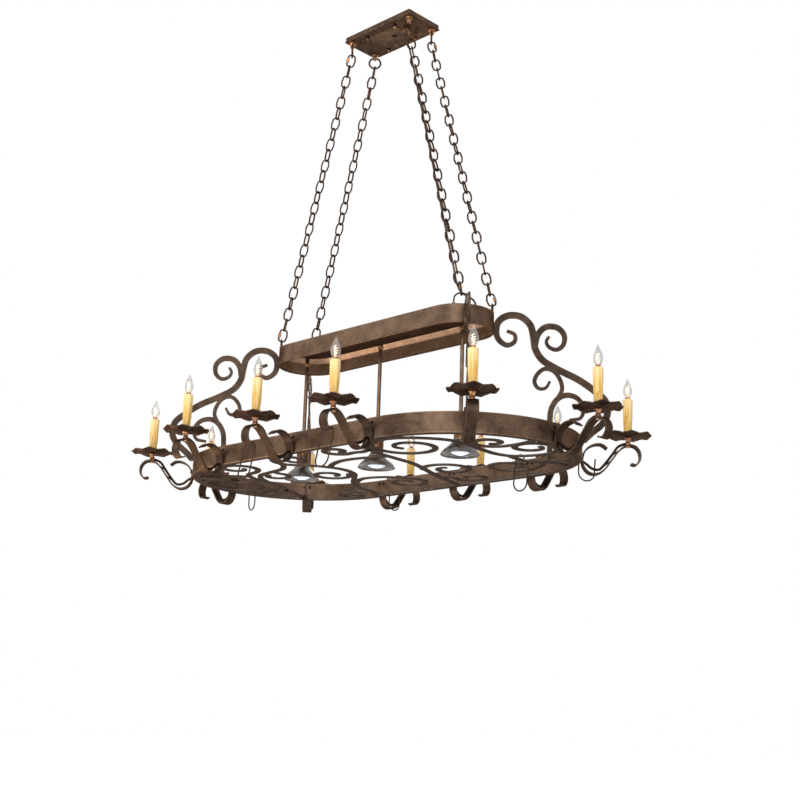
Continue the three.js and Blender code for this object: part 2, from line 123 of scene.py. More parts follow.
def added(name):
    """The primitive just added, with its place in its mesh."""
    obj = bpy.context.object
    bpy.ops.object.transform_apply(location=True, rotation=True, scale=True)
    obj.name = obj.data.name = name
    return obj


def editing(obj):
    deselect()
    obj.select_set(True)
    bpy.context.view_layer.objects.active = obj
    bpy.ops.object.mode_set(mode="EDIT")
    bpy.ops.mesh.select_mode(type="VERT")
    bpy.ops.mesh.select_all(action="SELECT")


def scrap(*objects):
    for obj in objects:
        bpy.data.objects.remove(obj, do_unlink=True)


def spun(degrees, axis):
    return Matrix.Rotation(math.radians(degrees), 4, axis)


def at(x, y, z=0):
    return Matrix.Translation(Vector((x, y, z)) * MM)


def moved(obj, x=0, y=0, z=0):
    obj.data.transform(at(x, y, z))
    return obj


def chosen(obj, test):
    """Selects the vertices of the mesh in edit mode whose number and place pass the test."""
    bpy.ops.mesh.select_all(action="DESELECT")
    mesh = bmesh.from_edit_mesh(obj.data)
    for number, vertex in enumerate(mesh.verts):
        vertex.select = test(number, vertex.co)
    mesh.select_flush(True)
    bmesh.update_edit_mesh(obj.data)


def tidied(obj, angle=35, merge=0.00002):
    """Closes seams and poles, turns faces outwards and smooths all but the sharp edges."""
    editing(obj)
    bpy.ops.mesh.remove_doubles(threshold=merge)
    bpy.ops.mesh.normals_make_consistent(inside=False)
    bpy.ops.object.mode_set(mode="OBJECT")
    bpy.ops.object.shade_smooth_by_angle(angle=math.radians(angle))
    return obj


def cap(obj, segments, last):
    """Fills the first and the last ring of a body drawn up ring by ring."""
    for start in (0, last * segments):
        chosen(obj, lambda number, place: start <= number < start + segments)
        bpy.ops.mesh.edge_face_add()


def held(profile, near=2.4, far=9):
    """Adds a ring close to both ends of each long run, so that wear stays at the edges."""
    rings = [profile[0]]
    for (r0, z0), (r1, z1) in zip(profile, profile[1:]):
        run = math.hypot(r1 - r0, z1 - z0)
        if run > far:
            for share in (near / run, 1 - near / run):
                rings.append([r0 + (r1 - r0) * share, z0 + (z1 - z0) * share])
        rings.append([r1, z1])
    return rings


def turned(name, profile, segments=32, angle=35, closed=False, half=0):
    """A circle drawn up and scaled ring by ring along a profile of [radius, z].

    closed joins the last ring to the first. half is an oval's straight half length.
    """
    rings = held(profile + profile[:1] if closed else profile)
    rings = [(max(radius, POLE_R), z) for radius, z in rings]
    deselect()
    bpy.ops.mesh.primitive_circle_add(
        vertices=segments,
        radius=rings[0][0] * MM,
        location=(0, 0, rings[0][1] * MM),
        rotation=(0, 0, math.pi / segments),
    )
    obj = added(name)
    editing(obj)
    for (r0, z0), (r1, z1) in zip(rings, rings[1:]):
        bpy.ops.mesh.extrude_edges_move(TRANSFORM_OT_translate={"value": (0, 0, (z1 - z0) * MM)})
        bpy.ops.transform.resize(value=(r1 / r0, r1 / r0, 1), center_override=(0, 0, 0))
    if not closed:
        cap(obj, segments, len(rings) - 1)
    if half:
        for side in (1, -1):
            chosen(obj, lambda number, place: place.x * side > 0)
            bpy.ops.transform.translate(value=(side * half * MM, 0, 0))
    return tidied(obj, angle)


def rounded(half_x, half_y, corner):
    """A rectangle's outline with rounded corners, in half sizes of 1."""
    steps = 2  # facets round each corner
    cx, cy = min(corner / half_x, 0.9), min(corner / half_y, 0.9)
    outline = []
    for sx, sy, start in ((1, 1, 0), (-1, 1, 90), (-1, -1, 180), (1, -1, 270)):
        for i in range(steps + 1):
            turn = start + 90 * i / steps
            outline.append((sx * (1 - cx) + cx * cosd(turn), sy * (1 - cy) + cy * sind(turn)))
    # two more points on each broad side keep the wear at its edges
    broad = max(0, 1 - 2.4 * (cx if half_x > half_y else cy))
    corners = steps + 1
    if half_x > half_y:
        outline[3 * corners : 3 * corners] = [(-broad, -1), (broad, -1)]
        outline[corners:corners] = [(broad, 1), (-broad, 1)]
    else:
        outline += [(1, -broad), (1, broad)]
        outline[2 * corners : 2 * corners] = [(-1, broad), (-1, -broad)]
    return outline


def round_section(sides):
    """A round outline, in half sizes of 1."""
    return [(cosd(360 * i / sides), sind(360 * i / sides)) for i in range(sides)]


def swept(name, section, stations, angle=35):
    """A flat end face drawn out through each station's matrix in turn."""
    deselect()
    bpy.ops.mesh.primitive_circle_add(vertices=len(section), radius=1, fill_type="NGON")
    obj = added(name)
    for vertex, (x, y) in zip(obj.data.vertices, section):
        vertex.co = stations[0] @ Vector((x, y, 0))
    editing(obj)
    for before, after in zip(stations, stations[1:]):
        bpy.ops.mesh.extrude_region()
        step = after @ before.inverted()
        mesh = bmesh.from_edit_mesh(obj.data)
        for vertex in mesh.verts:
            if vertex.select:
                vertex.co = step @ vertex.co
        bmesh.update_edit_mesh(obj.data)
    return tidied(obj, angle, 0.000002)


def smooth(points, pitch):
    """Points about every pitch along a centripetal Catmull-Rom curve through the given ones."""
    parts = 24  # straight steps between two given points
    known = [Vector(tuple(p) + (0,) * (3 - len(p))) for p in points]
    known = [2 * known[0] - known[1]] + known + [2 * known[-1] - known[-2]]
    fine = []
    for knots in zip(known, known[1:], known[2:], known[3:]):
        t = [0]
        for p, q in zip(knots, knots[1:]):
            t.append(t[-1] + max((q - p).length, 1e-4) ** 0.5)
        for step in range(parts):
            now = t[1] + (t[2] - t[1]) * step / parts
            row = list(knots)
            for span in (1, 2):
                row = [
                    row[i].lerp(row[i + 1], (now - t[i]) / (t[i + span] - t[i]))
                    for i in range(len(row) - 1)
                ]
            fine.append(row[0].lerp(row[1], (now - t[1]) / (t[2] - t[1])))
    fine.append(known[-2])
    reach = [0]
    for p, q in zip(fine, fine[1:]):
        reach.append(reach[-1] + (q - p).length)
    count = max(2, round(reach[-1] / pitch))
    out, near = [], 0
    for i in range(count + 1):
        want = reach[-1] * i / count
        while near < len(reach) - 2 and reach[near + 1] < want:
            near += 1
        span = max(reach[near + 1] - reach[near], 1e-9)
        out.append(fine[near].lerp(fine[near + 1], min(1, (want - reach[near]) / span)))
    return out


def spiral(x, y, start_r, end_r, start, sweep):
    """Points at most 40 degrees apart on a spiral about x, y."""
    count = math.ceil(abs(sweep) / 40)
    points = []
    for i in range(count + 1):
        radius = start_r + (end_r - start_r) * i / count
        turn = start + sweep * i / count
        points.append((x + radius * cosd(turn), y + radius * sind(turn)))
    return points


def ways_along(points):
    """The direction of a path at each of its points."""
    ends = [points[0]] + points + [points[-1]]
    return [(ends[i + 2] - ends[i]).normalized() for i in range(len(points))]


def framed(place, side, up, way, half_side, half_up):
    """The matrix that sets a section's half sizes at a place on a path, in metres."""
    turn = Matrix((side * half_side, up * half_up, way)).transposed().to_4x4()
    return Matrix.Scale(MM, 4) @ Matrix.Translation(place) @ turn


def taper(width, tip, at_start, at_end):
    """Width that narrows to a tip at the start, the end or both, as shares of the length."""

    def width_at(s):
        start = min(1, s / at_start) if at_start else 1
        end = min(1, (1 - s) / at_end) if at_end else 1
        return tip + (width - tip) * min(start, end)

    return width_at


def with_soft_ends(stations, depth):
    """Draws both ends in over a short depth, so that no end is a bare saw cut."""
    shrink = Matrix.Diagonal((0.72, 0.72, 1, 1))
    push = Matrix.Translation((0, 0, depth))
    pull = Matrix.Translation((0, 0, -depth))
    first, last = stations[0], stations[-1]
    return [first @ shrink, first @ push] + stations[1:-1] + [last @ pull, last @ shrink]


def flat_bar(name, points, width_at, thick, pitch, corner):
    """A bar along a plane curve in XY: its width in the plane, its thickness along Z."""
    path = smooth(points, pitch)
    last = len(path) - 1
    up = Vector((0, 0, 1))
    stations = []
    for i, (place, way) in enumerate(zip(path, ways_along(path))):
        half = width_at(i / last) / 2
        stations.append(framed(place, up.cross(way), up, way, half, thick / 2))
    return swept(name, rounded(width_at(0.5) / 2, thick / 2, corner), with_soft_ends(stations, 1))


def wire(name, path, diameter, sides, soft=True):
    """Round wire along points that are already smooth."""
    ways = ways_along(path)
    normal = ways[0].orthogonal().normalized()
    stations = []
    for place, way in zip(path, ways):
        normal = (normal - way * normal.dot(way)).normalized()
        half = diameter / 2
        stations.append(framed(place, normal, way.cross(normal), way, half, half))
    if soft:
        stations = with_soft_ends(stations, diameter * 0.2)
    return swept(name, round_section(sides), stations, 60)


def block(name, size, centre, bevel, turn=0):
    """A cube with its edges rounded, turned about Y and set at its centre."""
    deselect()
    bpy.ops.mesh.primitive_cube_add(size=1, scale=[side * MM for side in size])
    obj = added(name)
    editing(obj)
    bpy.ops.mesh.bevel(offset=bevel * MM, segments=2, affect="EDGES")
    bpy.ops.mesh.select_mode(type="FACE")
    bpy.ops.mesh.select_all(action="DESELECT")
    mesh = bmesh.from_edit_mesh(obj.data)
    for face in mesh.faces:
        face.select = max(abs(axis) for axis in face.normal) > 0.999
    bmesh.update_edit_mesh(obj.data)
    bpy.ops.mesh.inset(thickness=min(size) * 0.2 * MM, use_individual=True)
    bpy.ops.object.mode_set(mode="OBJECT")
    obj.data.transform(at(*centre) @ spun(turn, "Y"))
    return tidied(obj)


def torus(name, bend, thick, around, sides=10):
    deselect()
    bpy.ops.mesh.primitive_torus_add(
        major_segments=around,
        minor_segments=sides,
        major_radius=bend * MM,
        minor_radius=thick / 2 * MM,
    )
    return tidied(added(name), 60)


def cut(obj, cutter):
    deselect()
    bpy.context.view_layer.objects.active = obj
    hole = obj.modifiers.new("hole", "BOOLEAN")
    hole.object = cutter
    hole.operation = "DIFFERENCE"
    hole.solver = "EXACT"
    bpy.ops.object.modifier_apply(modifier=hole.name)
    scrap(cutter)
    return obj


def joined(name, parts):
    deselect()
    for part in parts:
        part.select_set(True)
    bpy.context.view_layer.objects.active = parts[0]
    if len(parts) > 1:
        bpy.ops.object.join()
    parts[0].name = parts[0].data.name = name
    return parts[0]


def copied(master, name, matrix=None):
    obj = master.copy()
    obj.data = master.data.copy()
    obj.name = obj.data.name = name
    bpy.context.scene.collection.objects.link(obj)
    if matrix is not None:
        obj.data.transform(matrix)
    return obj


def spread(master, name, matrices):
    """One object of a copy of the master at each matrix. The master itself goes."""
    parts = [copied(master, name, matrix) for matrix in matrices]
    scrap(master)
    return joined(name, parts)


def upright(obj):
    """Stands a piece drawn on [radius, height] up from the XY plane."""
    obj.data.transform(spun(90, "X"))
    return obj


def stood(x, heading):
    """The matrix that turns a piece drawn along +X to a heading, from x on the centre line."""
    return at(x, 0) @ spun(heading, "Z")


def mark_wear(obj):
    """Stores how sharply the surface turns outwards at each vertex, for rubbed edges."""
    mesh = bmesh.new()
    mesh.from_mesh(obj.data)
    wear = mesh.verts.layers.float.new("wear")
    for vertex in mesh.verts:
        bend = max((edge.calc_face_angle_signed(0) for edge in vertex.link_edges), default=0)
        vertex[wear] = min(1, max(0, bend / math.radians(FULL_WEAR)))
    mesh.to_mesh(obj.data)
    mesh.free()


def finish_piece(obj, material, node, body="rack"):
    """Lowers a piece to its place, marks how worn its edges are, gives it its finish, hangs it on
    its body and hides the imported part that it stands for.
    """
    moved(obj, z=-DROP)
    mark_wear(obj)
    obj.data.materials.clear()
    obj.data.materials.append(finish(material))
    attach(obj, body)
    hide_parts(node)


# ---------------------------------------------------------------- finishes
class Value:
    """A node's output socket. Arithmetic on it adds Math nodes."""

    def __init__(self, paint, socket):
        self.paint = paint
        self.socket = socket

    def _math(self, operation, a, b):
        return self.paint.node("ShaderNodeMath", {"operation": operation}, {0: a, 1: b})

    def __add__(self, other):
        return self._math("ADD", self, other)

    __radd__ = __add__

    def __mul__(self, other):
        return self._math("MULTIPLY", self, other)

    __rmul__ = __mul__

    def __sub__(self, other):
        return self._math("SUBTRACT", self, other)

    def __rsub__(self, other):
        return self._math("SUBTRACT", other, self)


class Paint:
    """A material, or the world, and its node tree."""

    def __init__(self, name, world=None):
        self.material = world or bpy.data.materials.new(name)
        self.material.use_nodes = True
        self.tree = self.material.node_tree
        self.tree.nodes.clear()

    def node(self, kind, settings=None, inputs=None, output=0):
        """Adds a node: its settings first, then the values or links of its sockets."""
        made = self.tree.nodes.new(kind)
        for key, value in (settings or {}).items():
            setattr(made, key, value)
        for key, value in (inputs or {}).items():
            if isinstance(value, Value):
                self.tree.links.new(value.socket, made.inputs[key])
            else:
                made.inputs[key].default_value = value
        return Value(self, made.outputs[output]) if output is not None else None

    def place(self, stretch=(1, 1, 1)):
        spot = self.node("ShaderNodeTexCoord", output="Object")
        if stretch == (1, 1, 1):
            return spot
        return self.node("ShaderNodeMapping", inputs={"Vector": spot, "Scale": stretch})

    def noise(self, scale, detail=3, rough=0.5, stretch=(1, 1, 1), warp=0):
        inputs = {"Vector": self.place(stretch), "Scale": scale, "Detail": detail}
        inputs.update({"Roughness": rough, "Distortion": warp})
        return self.node("ShaderNodeTexNoise", inputs=inputs)

    def mask(self, value, low, high):
        """0 below low and 1 above high, with a soft step between them."""
        inputs = {"Value": value, "From Min": low, "From Max": high}
        return self.node("ShaderNodeMapRange", {"interpolation_type": "SMOOTHSTEP"}, inputs)

    def blend(self, share, a, b):
        inputs = {0: share, 6: a, 7: b}
        return self.node("ShaderNodeMix", {"data_type": "RGBA"}, inputs, output=2)

    def worn_edges(self):
        return self.node("ShaderNodeAttribute", {"attribute_name": "wear"}, output="Fac")

    def bump(self, height, strength, distance):
        inputs = {"Height": height, "Strength": strength, "Distance": distance}
        return self.node("ShaderNodeBump", inputs=inputs)

    def surface(self, **inputs):
        """The material's shader. Names are the shader's sockets with _ for a space."""
        named = {key.replace("_", " "): value for key, value in inputs.items()}
        shader = self.node("ShaderNodeBsdfPrincipled", inputs=named)
        self.node("ShaderNodeOutputMaterial", inputs={"Surface": shader}, output=None)
        return self.material


def rgba(colour, share=1):
    return tuple(min(1, channel * share) for channel in colour[:3]) + (1,)


def forged_iron(name, dark, light, shine=0.42, edges=True, metal=0.8):
    """Iron with a clouded bronze patina, rubbed to copper at its edges or in patches."""
    paint = Paint(name)
    cloud = paint.mask(paint.noise(22, 7, 0.6, warp=0.4), 0.3, 0.72)
    grain = paint.mask(paint.noise(190, 4, 0.65, stretch=(0.35, 0.35, 1)), 0.38, 0.66)
    patches = paint.mask(paint.noise(75, 4, 0.65), 0.48, 0.68)
    worn = paint.worn_edges() * (patches * 0.6 + 0.4) if edges else patches * 0.45
    base = paint.blend(cloud * 0.55 + grain * 0.3, rgba(dark), rgba(light))
    hammered = paint.noise(45, 2, 0.4) * 0.7 + paint.noise(260, 3, 0.6) * 0.3
    return paint.surface(
        Base_Color=paint.blend(worn * 0.6, base, rgba(light, 2.2)),
        Metallic=metal,
        Roughness=shine + grain * 0.12 - worn * 0.08,
        Specular_Tint=(0.45, 0.34, 0.26, 1),
        Normal=paint.bump(hammered, 0.3, 0.001),
    )


def rubbed_copper(name, shade):
    """Copper fittings, warm and lightly tarnished."""
    paint = Paint(name)
    tarnish = paint.mask(paint.noise(90, 4, 0.6), 0.36, 0.66)
    return paint.surface(
        Base_Color=paint.blend(tarnish * 0.8, rgba(shade), rgba(shade, 0.32)),
        Metallic=0.9,
        Roughness=0.28 + tarnish * 0.2,
        Normal=paint.bump(paint.noise(400, 2), 0.1, 0.0004),
    )


def spun_bronze(name, shade):
    """Spun dark bronze with fine turning lines."""
    paint = Paint(name)
    cloud = paint.mask(paint.noise(40, 4, 0.6), 0.38, 0.7)
    lines = paint.noise(900, 2, 0.5, stretch=(0.02, 0.02, 1))
    return paint.surface(
        Base_Color=paint.blend(cloud, rgba(shade), rgba(shade, 2.1)),
        Metallic=0.9,
        Roughness=0.3 + cloud * 0.15,
        Normal=paint.bump(lines, 0.12, 0.0004),
    )


def candle_wax(name, shade):
    """Candle sleeve resin: amber, with paler runs down its sides, paler near its lamp as painted
    lamp light, and a faint glow that is painted light too.
    """
    paint = Paint(name)
    drip = paint.node("ShaderNodeAttribute", {"attribute_name": "drip"}, output="Fac")
    runs = paint.mask(paint.noise(150, 3, 0.55, stretch=(1, 1, 0.07)), 0.34, 0.48)
    cloud = paint.noise(38, 3, 0.6)
    deep = rgba((shade[0] * 0.66, shade[1] * 0.5, shade[2] * 0.3))
    pale = rgba((shade[0] * 1.04, shade[1] * 1.14, shade[2] * 1.7))
    body = paint.blend(runs * 0.7 + cloud * 0.3, deep, rgba(shade))
    ridged = paint.blend(paint.mask(drip, 0.3, 0.9) * 0.7, body, pale)
    # darker along the edges of the drips
    drip_edge_dark = paint.mask(drip, 0.04, 0.16) * (1 - paint.mask(drip, 0.16, 0.42))
    height = paint.node("ShaderNodeSeparateXYZ", inputs={0: paint.place()}, output="Z")
    top = (CANDLE_TOP - DROP) * MM
    # paler towards the top: painted light from the lamp above
    painted_lamp_light = paint.mask(height, top - 0.06, top)
    dripped = paint.blend(drip_edge_dark * 0.75, ridged, deep)
    colour = paint.blend(painted_lamp_light * 0.6, dripped, rgba((0.9, 0.7, 0.38)))
    return paint.surface(
        Base_Color=colour,
        Roughness=0.42 + cloud * 0.12,
        # a faint glow in the wax's own colour: painted light, as the sleeve is no lamp
        Emission_Color=colour,
        Emission_Strength=0.06,
        Normal=paint.bump(runs * 0.6 + cloud * 0.4, 0.3, 0.0008),
    )


def lamp_glass(name):
    """Clear blown glass with grey flutes that run up to its tip."""
    paint = Paint(name)
    flutes = paint.mask(paint.noise(95, 1, 0.4, stretch=(1, 1, 0.1)), 0.36, 0.66)
    return paint.surface(
        Base_Color=paint.blend(flutes, (0.46, 0.43, 0.41, 1), (0.27, 0.26, 0.26, 1)),
        Roughness=0.05 + flutes * 0.05,
        Alpha=0.3 + flutes * 0.16,
        Emission_Color=(1, 0.9, 0.78, 1),
        Emission_Strength=0.03,
    )


def glow(name, shade, strength):
    """A lit surface, paler where its cloud is."""
    paint = Paint(name)
    cloud = paint.noise(80, 2)
    return paint.surface(
        Base_Color=rgba(shade, 0.5),
        Roughness=0.3 + cloud * 0.1,
        Emission_Color=paint.blend(cloud * 0.4, rgba(shade), (1, 1, 1, 1)),
        Emission_Strength=strength,
    )


def twisted_cord(name, shade):
    """Two-strand lamp cord: bands that wind round it, with painted shade in the grooves between the
    strands.
    """
    paint = Paint(name)
    settings = {"wave_type": "BANDS", "bands_direction": "DIAGONAL"}
    inputs = {"Vector": paint.place(), "Scale": 95, "Distortion": 0.6, "Detail": 1}
    bands = paint.node("ShaderNodeTexWave", settings, inputs, output=1)
    return paint.surface(
        # darker where the bands are low, in the grooves between the strands: painted shade
        Base_Color=paint.blend(bands * 0.6, rgba(shade, 0.5), rgba(shade, 1.3)),
        Roughness=0.55 + bands * 0.15,
        Normal=paint.bump(bands, 0.4, 0.0008),
    )


def finish(name):
    """The named finish, made once from the colours of the panel."""
    label = f"{name}_finish"
    made = bpy.data.materials.get(label)
    if made:
        return made
    paints = bpy.context.scene.rack_finishes
    dark, light, band = paints.iron_dark, paints.iron_light, paints.band_light
    rust = (light[0] * 1.15, light[1] * 0.9, light[2] * 0.7)
    plate = rgba(paints.band_dark, 1.1)
    plain = {"edges": False}
    # finish: maker, its colours, then its other settings
    table = {
        "bronzed_iron": (forged_iron, (dark, light), {}),
        "wire_iron": (forged_iron, (rgba(dark, 0.75), rust), {"metal": 0.6, **plain}),
        "plate_bronze": (forged_iron, (plate, rgba(band, 0.82)), {"shine": 0.4, **plain}),
        "band_bronze": (forged_iron, (paints.band_dark, band), {"shine": 0.38, "metal": 0.85}),
        "lit_bronze": (
            forged_iron, (rgba(band, 1.2), rgba(band, 2.6)), {"shine": 0.34, "metal": 0.4}
        ),
        # a much lighter copy of the band bronze: a painted highlight for the tray's fold
        "bright_bronze": (
            forged_iron, (rgba(band, 2.2), rgba(band, 4)), {"shine": 0.3, "metal": 0.5}
        ),
        "dark_iron": (forged_iron, (rgba(dark, 0.6), rgba(light, 0.5)), {"shine": 0.5}),
        "dish_iron": (forged_iron, (rgba(dark, 1.7), rgba(light, 1.15)), {"shine": 0.36}),
        "grille_iron": (forged_iron, (paints.grille_dark, paints.grille_light), {}),
        "tube_iron": (forged_iron, (rgba(dark, 0.7), rgba(light, 0.45)), {"shine": 0.34, **plain}),
        "rubbed_copper": (rubbed_copper, (paints.copper,), {}),
        "neck_copper": (rubbed_copper, (rgba(paints.copper, 0.45),), {}),
        "bell_bronze": (spun_bronze, (paints.bell,), {}),
        "reflector": (spun_bronze, ((0.3, 0.32, 0.34),), {}),
        "amber_wax": (candle_wax, (paints.wax,), {}),
        "clear_glass": (lamp_glass, (), {}),
        "warm_filament": (glow, ((1.0, 0.62, 0.27), paints.filament_glow), {}),
        "warm_glow": (glow, ((1.0, 0.5, 0.16), 1.1), {}),
        "cool_lens": (glow, ((0.82, 0.91, 1.0), paints.lens_glow), {}),
        "lens_rim": (glow, ((0.5, 0.58, 0.68), 0.8), {}),
        "brown_cord": (twisted_cord, (paints.cord,), {}),
    }
    maker, colours, settings = table[name]
    return maker(label, *colours, **settings)


# ---------------------------------------------------------------- settings
def length_prop(name, description, default):
    return bpy.props.FloatProperty(
        name=name, description=description, default=default, min=0, unit="LENGTH"
    )


def colour_prop(name, description, default):
    return bpy.props.FloatVectorProperty(
        name=name, description=description, default=default, subtype="COLOR", size=3, min=0, max=1
    )


def count_prop(name, description, default):
    return bpy.props.IntProperty(name=name, description=description, default=default, min=3)


def strength_prop(name, description, default):
    return bpy.props.FloatProperty(name=name, description=description, default=default, min=0)


class RackSizes(bpy.types.PropertyGroup):
    edge_round: length_prop("Edge rounding", "Rounding of forged bar edges", 0.0012)
    bar_pitch: length_prop("Bar pitch", "Spacing of the rings that shape a curved bar", 0.005)
    link_facets: count_prop("Link facets", "Facets round one chain link", 14)
    petals: count_prop("Dish petals", "Scallops round a candle dish", 8)
    petal_rise: length_prop("Petal rise", "Height of a dish's scallops", 0.003)
    drip_depth: length_prop("Drip depth", "How far wax drips stand out from a sleeve", 0.0016)
    neck_ribs: count_prop("Neck ribs", "Ribs on a downlight's neck", 9)
    floor_drop: length_prop("Floor drop", "Floor below the ceiling face", 2.75)


class RackFinishes(bpy.types.PropertyGroup):
    iron_dark: colour_prop("Iron, dark", "Dark patina of the iron", (0.02, 0.0135, 0.01))
    iron_light: colour_prop("Iron, light", "Rubbed patina of the iron", (0.09, 0.058, 0.04))
    band_dark: colour_prop("Band, dark", "Dark patina of the ring and tray", (0.052, 0.033, 0.022))
    band_light: colour_prop(
        "Band, light", "Rubbed patina of the ring and tray", (0.16, 0.101, 0.067)
    )
    grille_dark: colour_prop("Grille, dark", "Dark patina of the grille", (0.024, 0.020, 0.017))
    grille_light: colour_prop("Grille, light", "Rubbed patina of the grille", (0.085, 0.068, 0.056))
    copper: colour_prop("Copper", "Fittings and cups", (0.5, 0.25, 0.12))
    bell: colour_prop("Bell bronze", "Downlight bells", (0.1, 0.09, 0.084))
    wax: colour_prop("Candle wax", "Candle sleeves", (0.75, 0.48, 0.12))
    cord: colour_prop("Cord", "Lamp cord", (0.07, 0.035, 0.02))
    filament_glow: strength_prop("Filament glow", "Strength of the lit filaments", 5)
    lens_glow: strength_prop("Lens glow", "Strength of the lit downlight lenses", 4)


# ---------------------------------------------------------------- stage and cord
def soft_lamp(name, place, size, power, tint=(1, 1, 1)):
    """A square lamp that faces the middle of the rack."""
    middle = Vector((0, 0, -1.3))
    deselect()
    bpy.ops.object.light_add(type="AREA", location=place)
    lamp = bpy.context.object
    lamp.name = name
    lamp.data.size = size
    lamp.data.energy = power
    lamp.data.color = tint
    lamp.rotation_euler = (middle - Vector(place)).to_track_quat("-Z", "Y").to_euler()


class RACK_OT_stage(bpy.types.Operator):
    """Set the camera, the pale floor and backdrop and the studio lights"""

    bl_idname = "rack.stage"
    bl_label = "Camera, floor and lights"

    def execute(self, context):
        deselect()
        bpy.ops.object.camera_add()
        camera = context.object
        place = Vector((2.9351, -2.9057, -2.3019))
        right = Vector((0.7200, 0.6934, 0.0308))
        up = Vector((0.1436, -0.1922, 0.9709))
        ahead = Vector((-0.6790, 0.6946, 0.2379))
        turn = Matrix((right, up, -ahead)).transposed().to_4x4()
        camera.matrix_world = Matrix.Translation(place) @ turn
        camera.data.lens = 60.2
        camera.data.sensor_width = 36
        camera.data.clip_end = 100
        context.scene.camera = camera

        drop = context.scene.rack_sizes.floor_drop
        bpy.ops.mesh.primitive_plane_add(size=60, location=(0, 0, -drop))
        floor = added("studio_floor")
        floor.data.materials.append(self.backdrop())
        context.scene.world = context.scene.world or bpy.data.worlds.new("studio")
        self.sky(context.scene.world)
        # name, place, size, watts and tint
        soft_lamp("key_light", (2.2, -4.2, 0.4), 2.2, 95)
        soft_lamp("fill_light", (4.6, 0.6, -2.2), 2.4, 34)
        soft_lamp("side_light", (-2.4, -2.7, -0.2), 2.4, 36)
        soft_lamp("front_light", (3.4, -2.4, -0.6), 1.2, 22)
        soft_lamp("low_light", (0.3, -1.6, -2.7), 1.6, 26, (1, 0.88, 0.75))
        soft_lamp("left_low_light", (-1.7, -0.6, -2.6), 1.2, 26, (1, 0.8, 0.62))
        soft_lamp("back_light", (-2.8, 3.4, 0.6), 2.0, 60)
        context.scene.view_settings.view_transform = "Standard"
        return {"FINISHED"}

    @staticmethod
    def backdrop():
        """A pale floor that reads as plain white to the camera and keeps the shadow."""
        paint = Paint("studio_floor")
        grain = paint.noise(3, 2)
        shader = paint.node(
            "ShaderNodeBsdfPrincipled",
            inputs={
                "Base Color": paint.blend(grain * 0.2, (0.9, 0.9, 0.9, 1), (0.86, 0.86, 0.86, 1)),
                "Roughness": 0.9,
            },
        )
        white = paint.node("ShaderNodeEmission", inputs={"Color": (1, 1, 1, 1), "Strength": 0.52})
        seen = paint.node("ShaderNodeAddShader", inputs={0: shader, 1: white})
        camera = paint.node("ShaderNodeLightPath", output="Is Camera Ray")
        mixed = paint.node("ShaderNodeMixShader", inputs={0: camera, 1: shader, 2: seen})
        paint.node("ShaderNodeOutputMaterial", inputs={"Surface": mixed}, output=None)
        return paint.material

    @staticmethod
    def sky(world):
        """White to the camera, in glass and in polish, and soft grey light elsewhere."""
        paint = Paint("sky", world)
        seen = 0
        for ray in ("Camera", "Glossy", "Transmission"):
            path = paint.node("ShaderNodeLightPath", output=f"Is {ray} Ray")
            seen = paint.node("ShaderNodeMath", {"operation": "MAXIMUM"}, {0: seen, 1: path})
        grey = {"Color": (1, 0.98, 0.96, 1), "Strength": 0.5}
        white = {"Color": (1, 1, 1, 1), "Strength": 1}
        soft = paint.node("ShaderNodeBackground", inputs=grey)
        plain = paint.node("ShaderNodeBackground", inputs=white)
        mixed = paint.node("ShaderNodeMixShader", inputs={0: seen, 1: soft, 2: plain})
        paint.node("ShaderNodeOutputWorld", inputs={"Surface": mixed}, output=None)


# From the plate's bushing, down the valley of one chain and into the tray's bushing
CORD_ROUTE = [
    (*CORD_OUT, 1499.6),
    (71, -2, 1470),
    (84, -14, 1440),
    (112, -40, 1420),
    (138, -55.5, 1395),
    (152.4, -56.7, 1350),
    (194.4, -59.3, 1200),
    (264.5, -63.5, 950),
    (334.6, -67.8, 700),
    (374, -69, 560),
    (380, -65, 525),
    (384, -45, 496),
    (389, -8, 487),
    (390, 14, 475),
    (*CORD_IN, 455.5),
]


class RACK_OT_lamp_cord(bpy.types.Operator):
    """Run the lamp cord down the near right chain"""

    bl_idname = "rack.lamp_cord"
    bl_label = "Lamp cord"

    def execute(self, context):
        places = [place - Vector((0, 0, DROP)) for place in smooth(CORD_ROUTE, 30)]
        route = [place * MM for place in places]
        deselect()
        bpy.ops.curve.primitive_bezier_curve_add()
        cord = context.object
        cord.name = cord.data.name = "lamp_cord_run"
        line = cord.data.splines[0]
        line.bezier_points.add(len(route) - 2)
        for knot, place in zip(line.bezier_points, route):
            knot.co = place
            knot.handle_left_type = knot.handle_right_type = "AUTO"
        cord.data.dimensions = "3D"
        cord.data.bevel_depth = CORD / 2 * MM
        cord.data.bevel_resolution = 3
        cord.data.resolution_u = 6
        cord.data.use_fill_caps = True
        cord.data.materials.append(finish("brown_cord"))
        run = sum((q - p).length for p, q in zip(route, route[1:]))
        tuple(route[0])
        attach(cord, "chain_near_right")
        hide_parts("lamp_cord")
        return {"FINISHED"}


# ---------------------------------------------------------------- ceiling plate and chains
def at_corners(x, y, z):
    """The matrix of each of the four corners that the chains are named for."""
    return [at(sx * x, sy * y, z) for sx, sy in CORNERS.values()]


def hung(spots):
    """Turns what hangs at each of the corners in line with the tray's edge."""
    turns = [Matrix.Rotation(math.atan2(sx, -sy), 4, "Z") for sx, sy in CORNERS.values()]
    return [spot @ turn for spot, turn in zip(spots, turns)]


